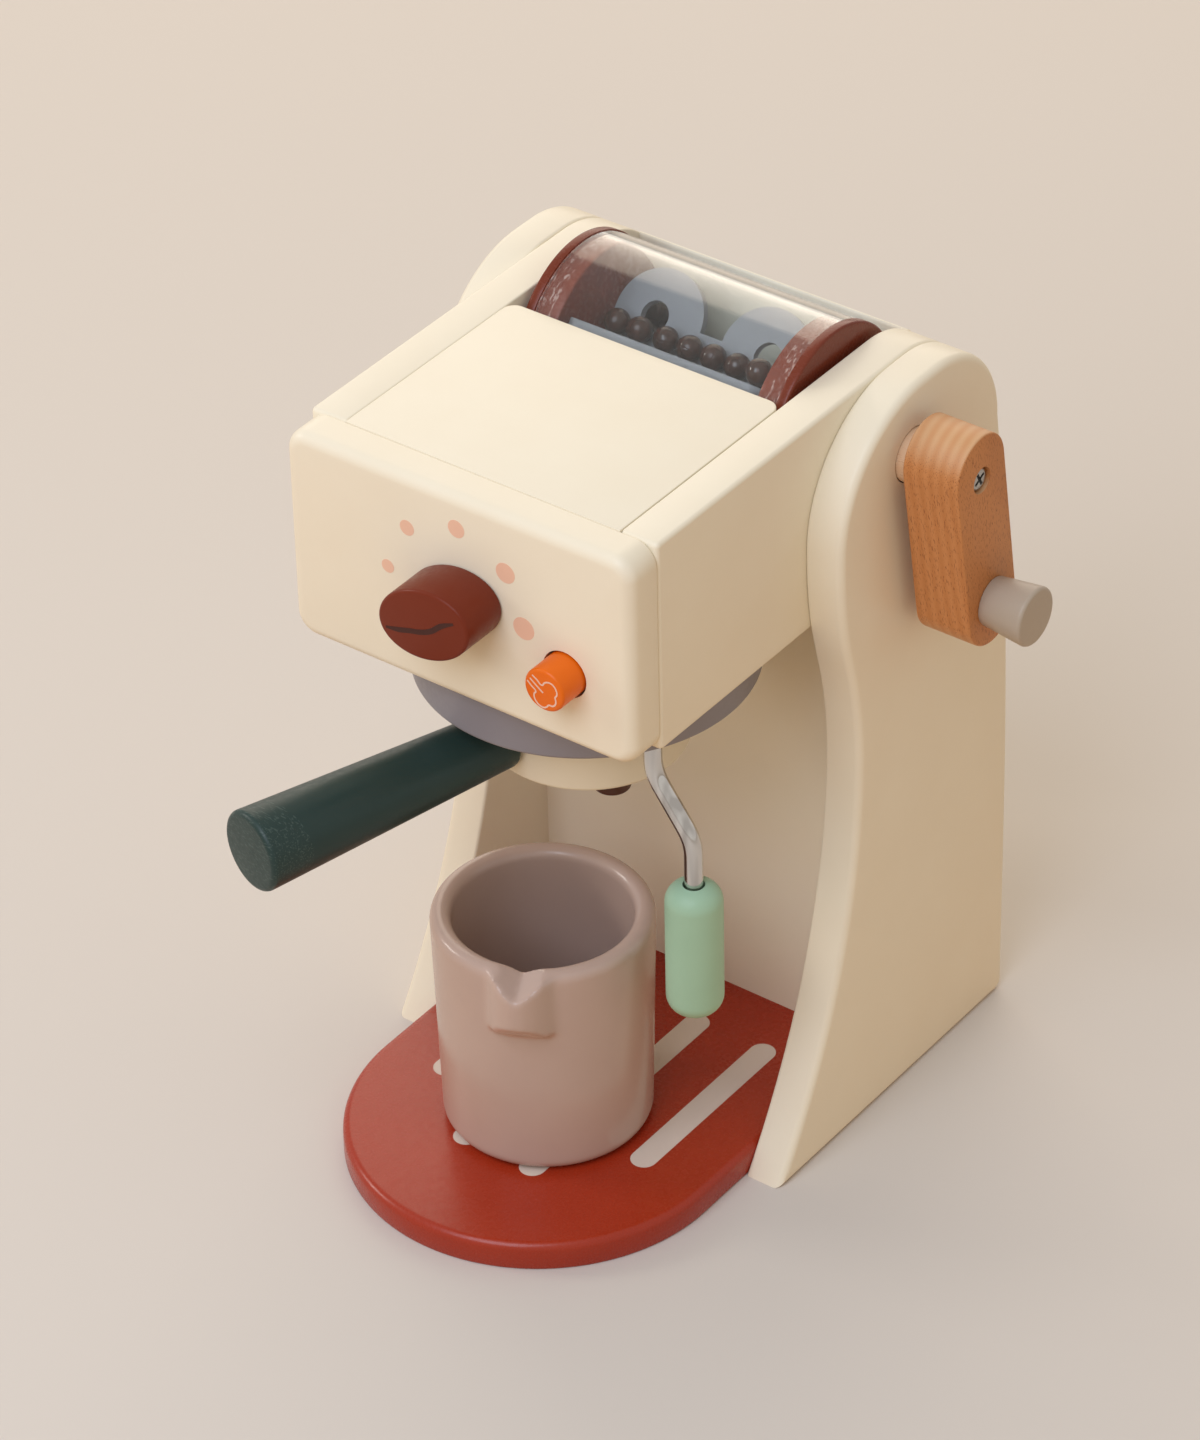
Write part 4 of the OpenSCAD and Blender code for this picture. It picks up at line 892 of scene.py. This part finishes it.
fit(jug, "milk_jug_greige", jug_paint, "jug_paint", "jug", "milk_jug")

# ---- Studio ----
# A plain pale table top and large soft lamps, a cool key in front, a warm one behind and a
# small one at the left. The camera looks down on the front from the machine's right.

floor_paint, tree, shader, _ = new_finish("pale_floor")


def seen_rays(tree):
    """Whether a ray comes from the camera, straight or through metal and glass."""
    path = add_node(tree, "LightPath", {})
    mirrored = add_node(tree, "Math", {
        "operation": "MAXIMUM", 0: path.outputs["Is Glossy Ray"], 1: path.outputs["Is Transmission Ray"]})
    seen = add_node(tree, "Math", {
        "operation": "MAXIMUM", 0: path.outputs["Is Camera Ray"], 1: mirrored.outputs[0]})
    return seen.outputs[0]


floor_tint = add_node(tree, "Mix", {
    "data_type": "RGBA", 0: seen_rays(tree), 6: shade("#D2AE82"), 7: shade("#D6D0C9")})
wire(tree, shader, {"Base Color": floor_tint.outputs[2], "Roughness": 0.7})
bpy.ops.object.select_all(action="DESELECT")
bpy.ops.mesh.primitive_plane_add(size=12)
floor = bpy.context.object
floor.name = "studio_floor"
floor.data.materials.append(floor_paint)

world = bpy.context.scene.world or bpy.data.worlds.new("studio")
bpy.context.scene.world = world
world.use_nodes = True
tree = world.node_tree
sky_tint = add_node(tree, "Mix", {
    "data_type": "RGBA", 0: seen_rays(tree), 6: shade("#C4BBB0"), 7: shade("#DAD6D1")})
wire(tree, tree.nodes["Background"], {"Color": sky_tint.outputs[2], "Strength": 1})

target = Vector((0, 0.02, 0.12))
for name, place, size, power, code in (
        ("key", (0.1, -1.2, 1.5), 1.2, 17.5, "#E2ECFF"),
        ("back", (-0.8, 1.2, 0.9), 1.4, 9, "#FFECD6"),
        ("side", (-1.3, -0.55, 0.75), 0.4, 4, "#FFF8F0")):
    bpy.ops.object.light_add(type="AREA", location=place)
    lamp = bpy.context.object
    lamp.name = lamp.data.name = name + "_softbox"
    lamp.rotation_euler = (target - Vector(place)).to_track_quat("-Z", "Y").to_euler()
    lamp.data.size, lamp.data.energy = size, power
    lamp.data.color = shade(code)[:3]

bpy.ops.object.camera_add(location=(0.8095, -1.0494, 1.1))
camera = bpy.context.object
camera.rotation_mode = "QUATERNION"
aim, roll = Vector((-0.49095, 0.64354, -0.58722)).to_track_quat("-Z", "Y"), math.radians(-1.36)
camera.rotation_quaternion = aim @ Quaternion((0, 0, 1), roll)
camera.data.lens, camera.data.sensor_width = 145.9, 36
bpy.context.scene.camera = camera
bpy.context.scene.view_settings.view_transform = "Standard"
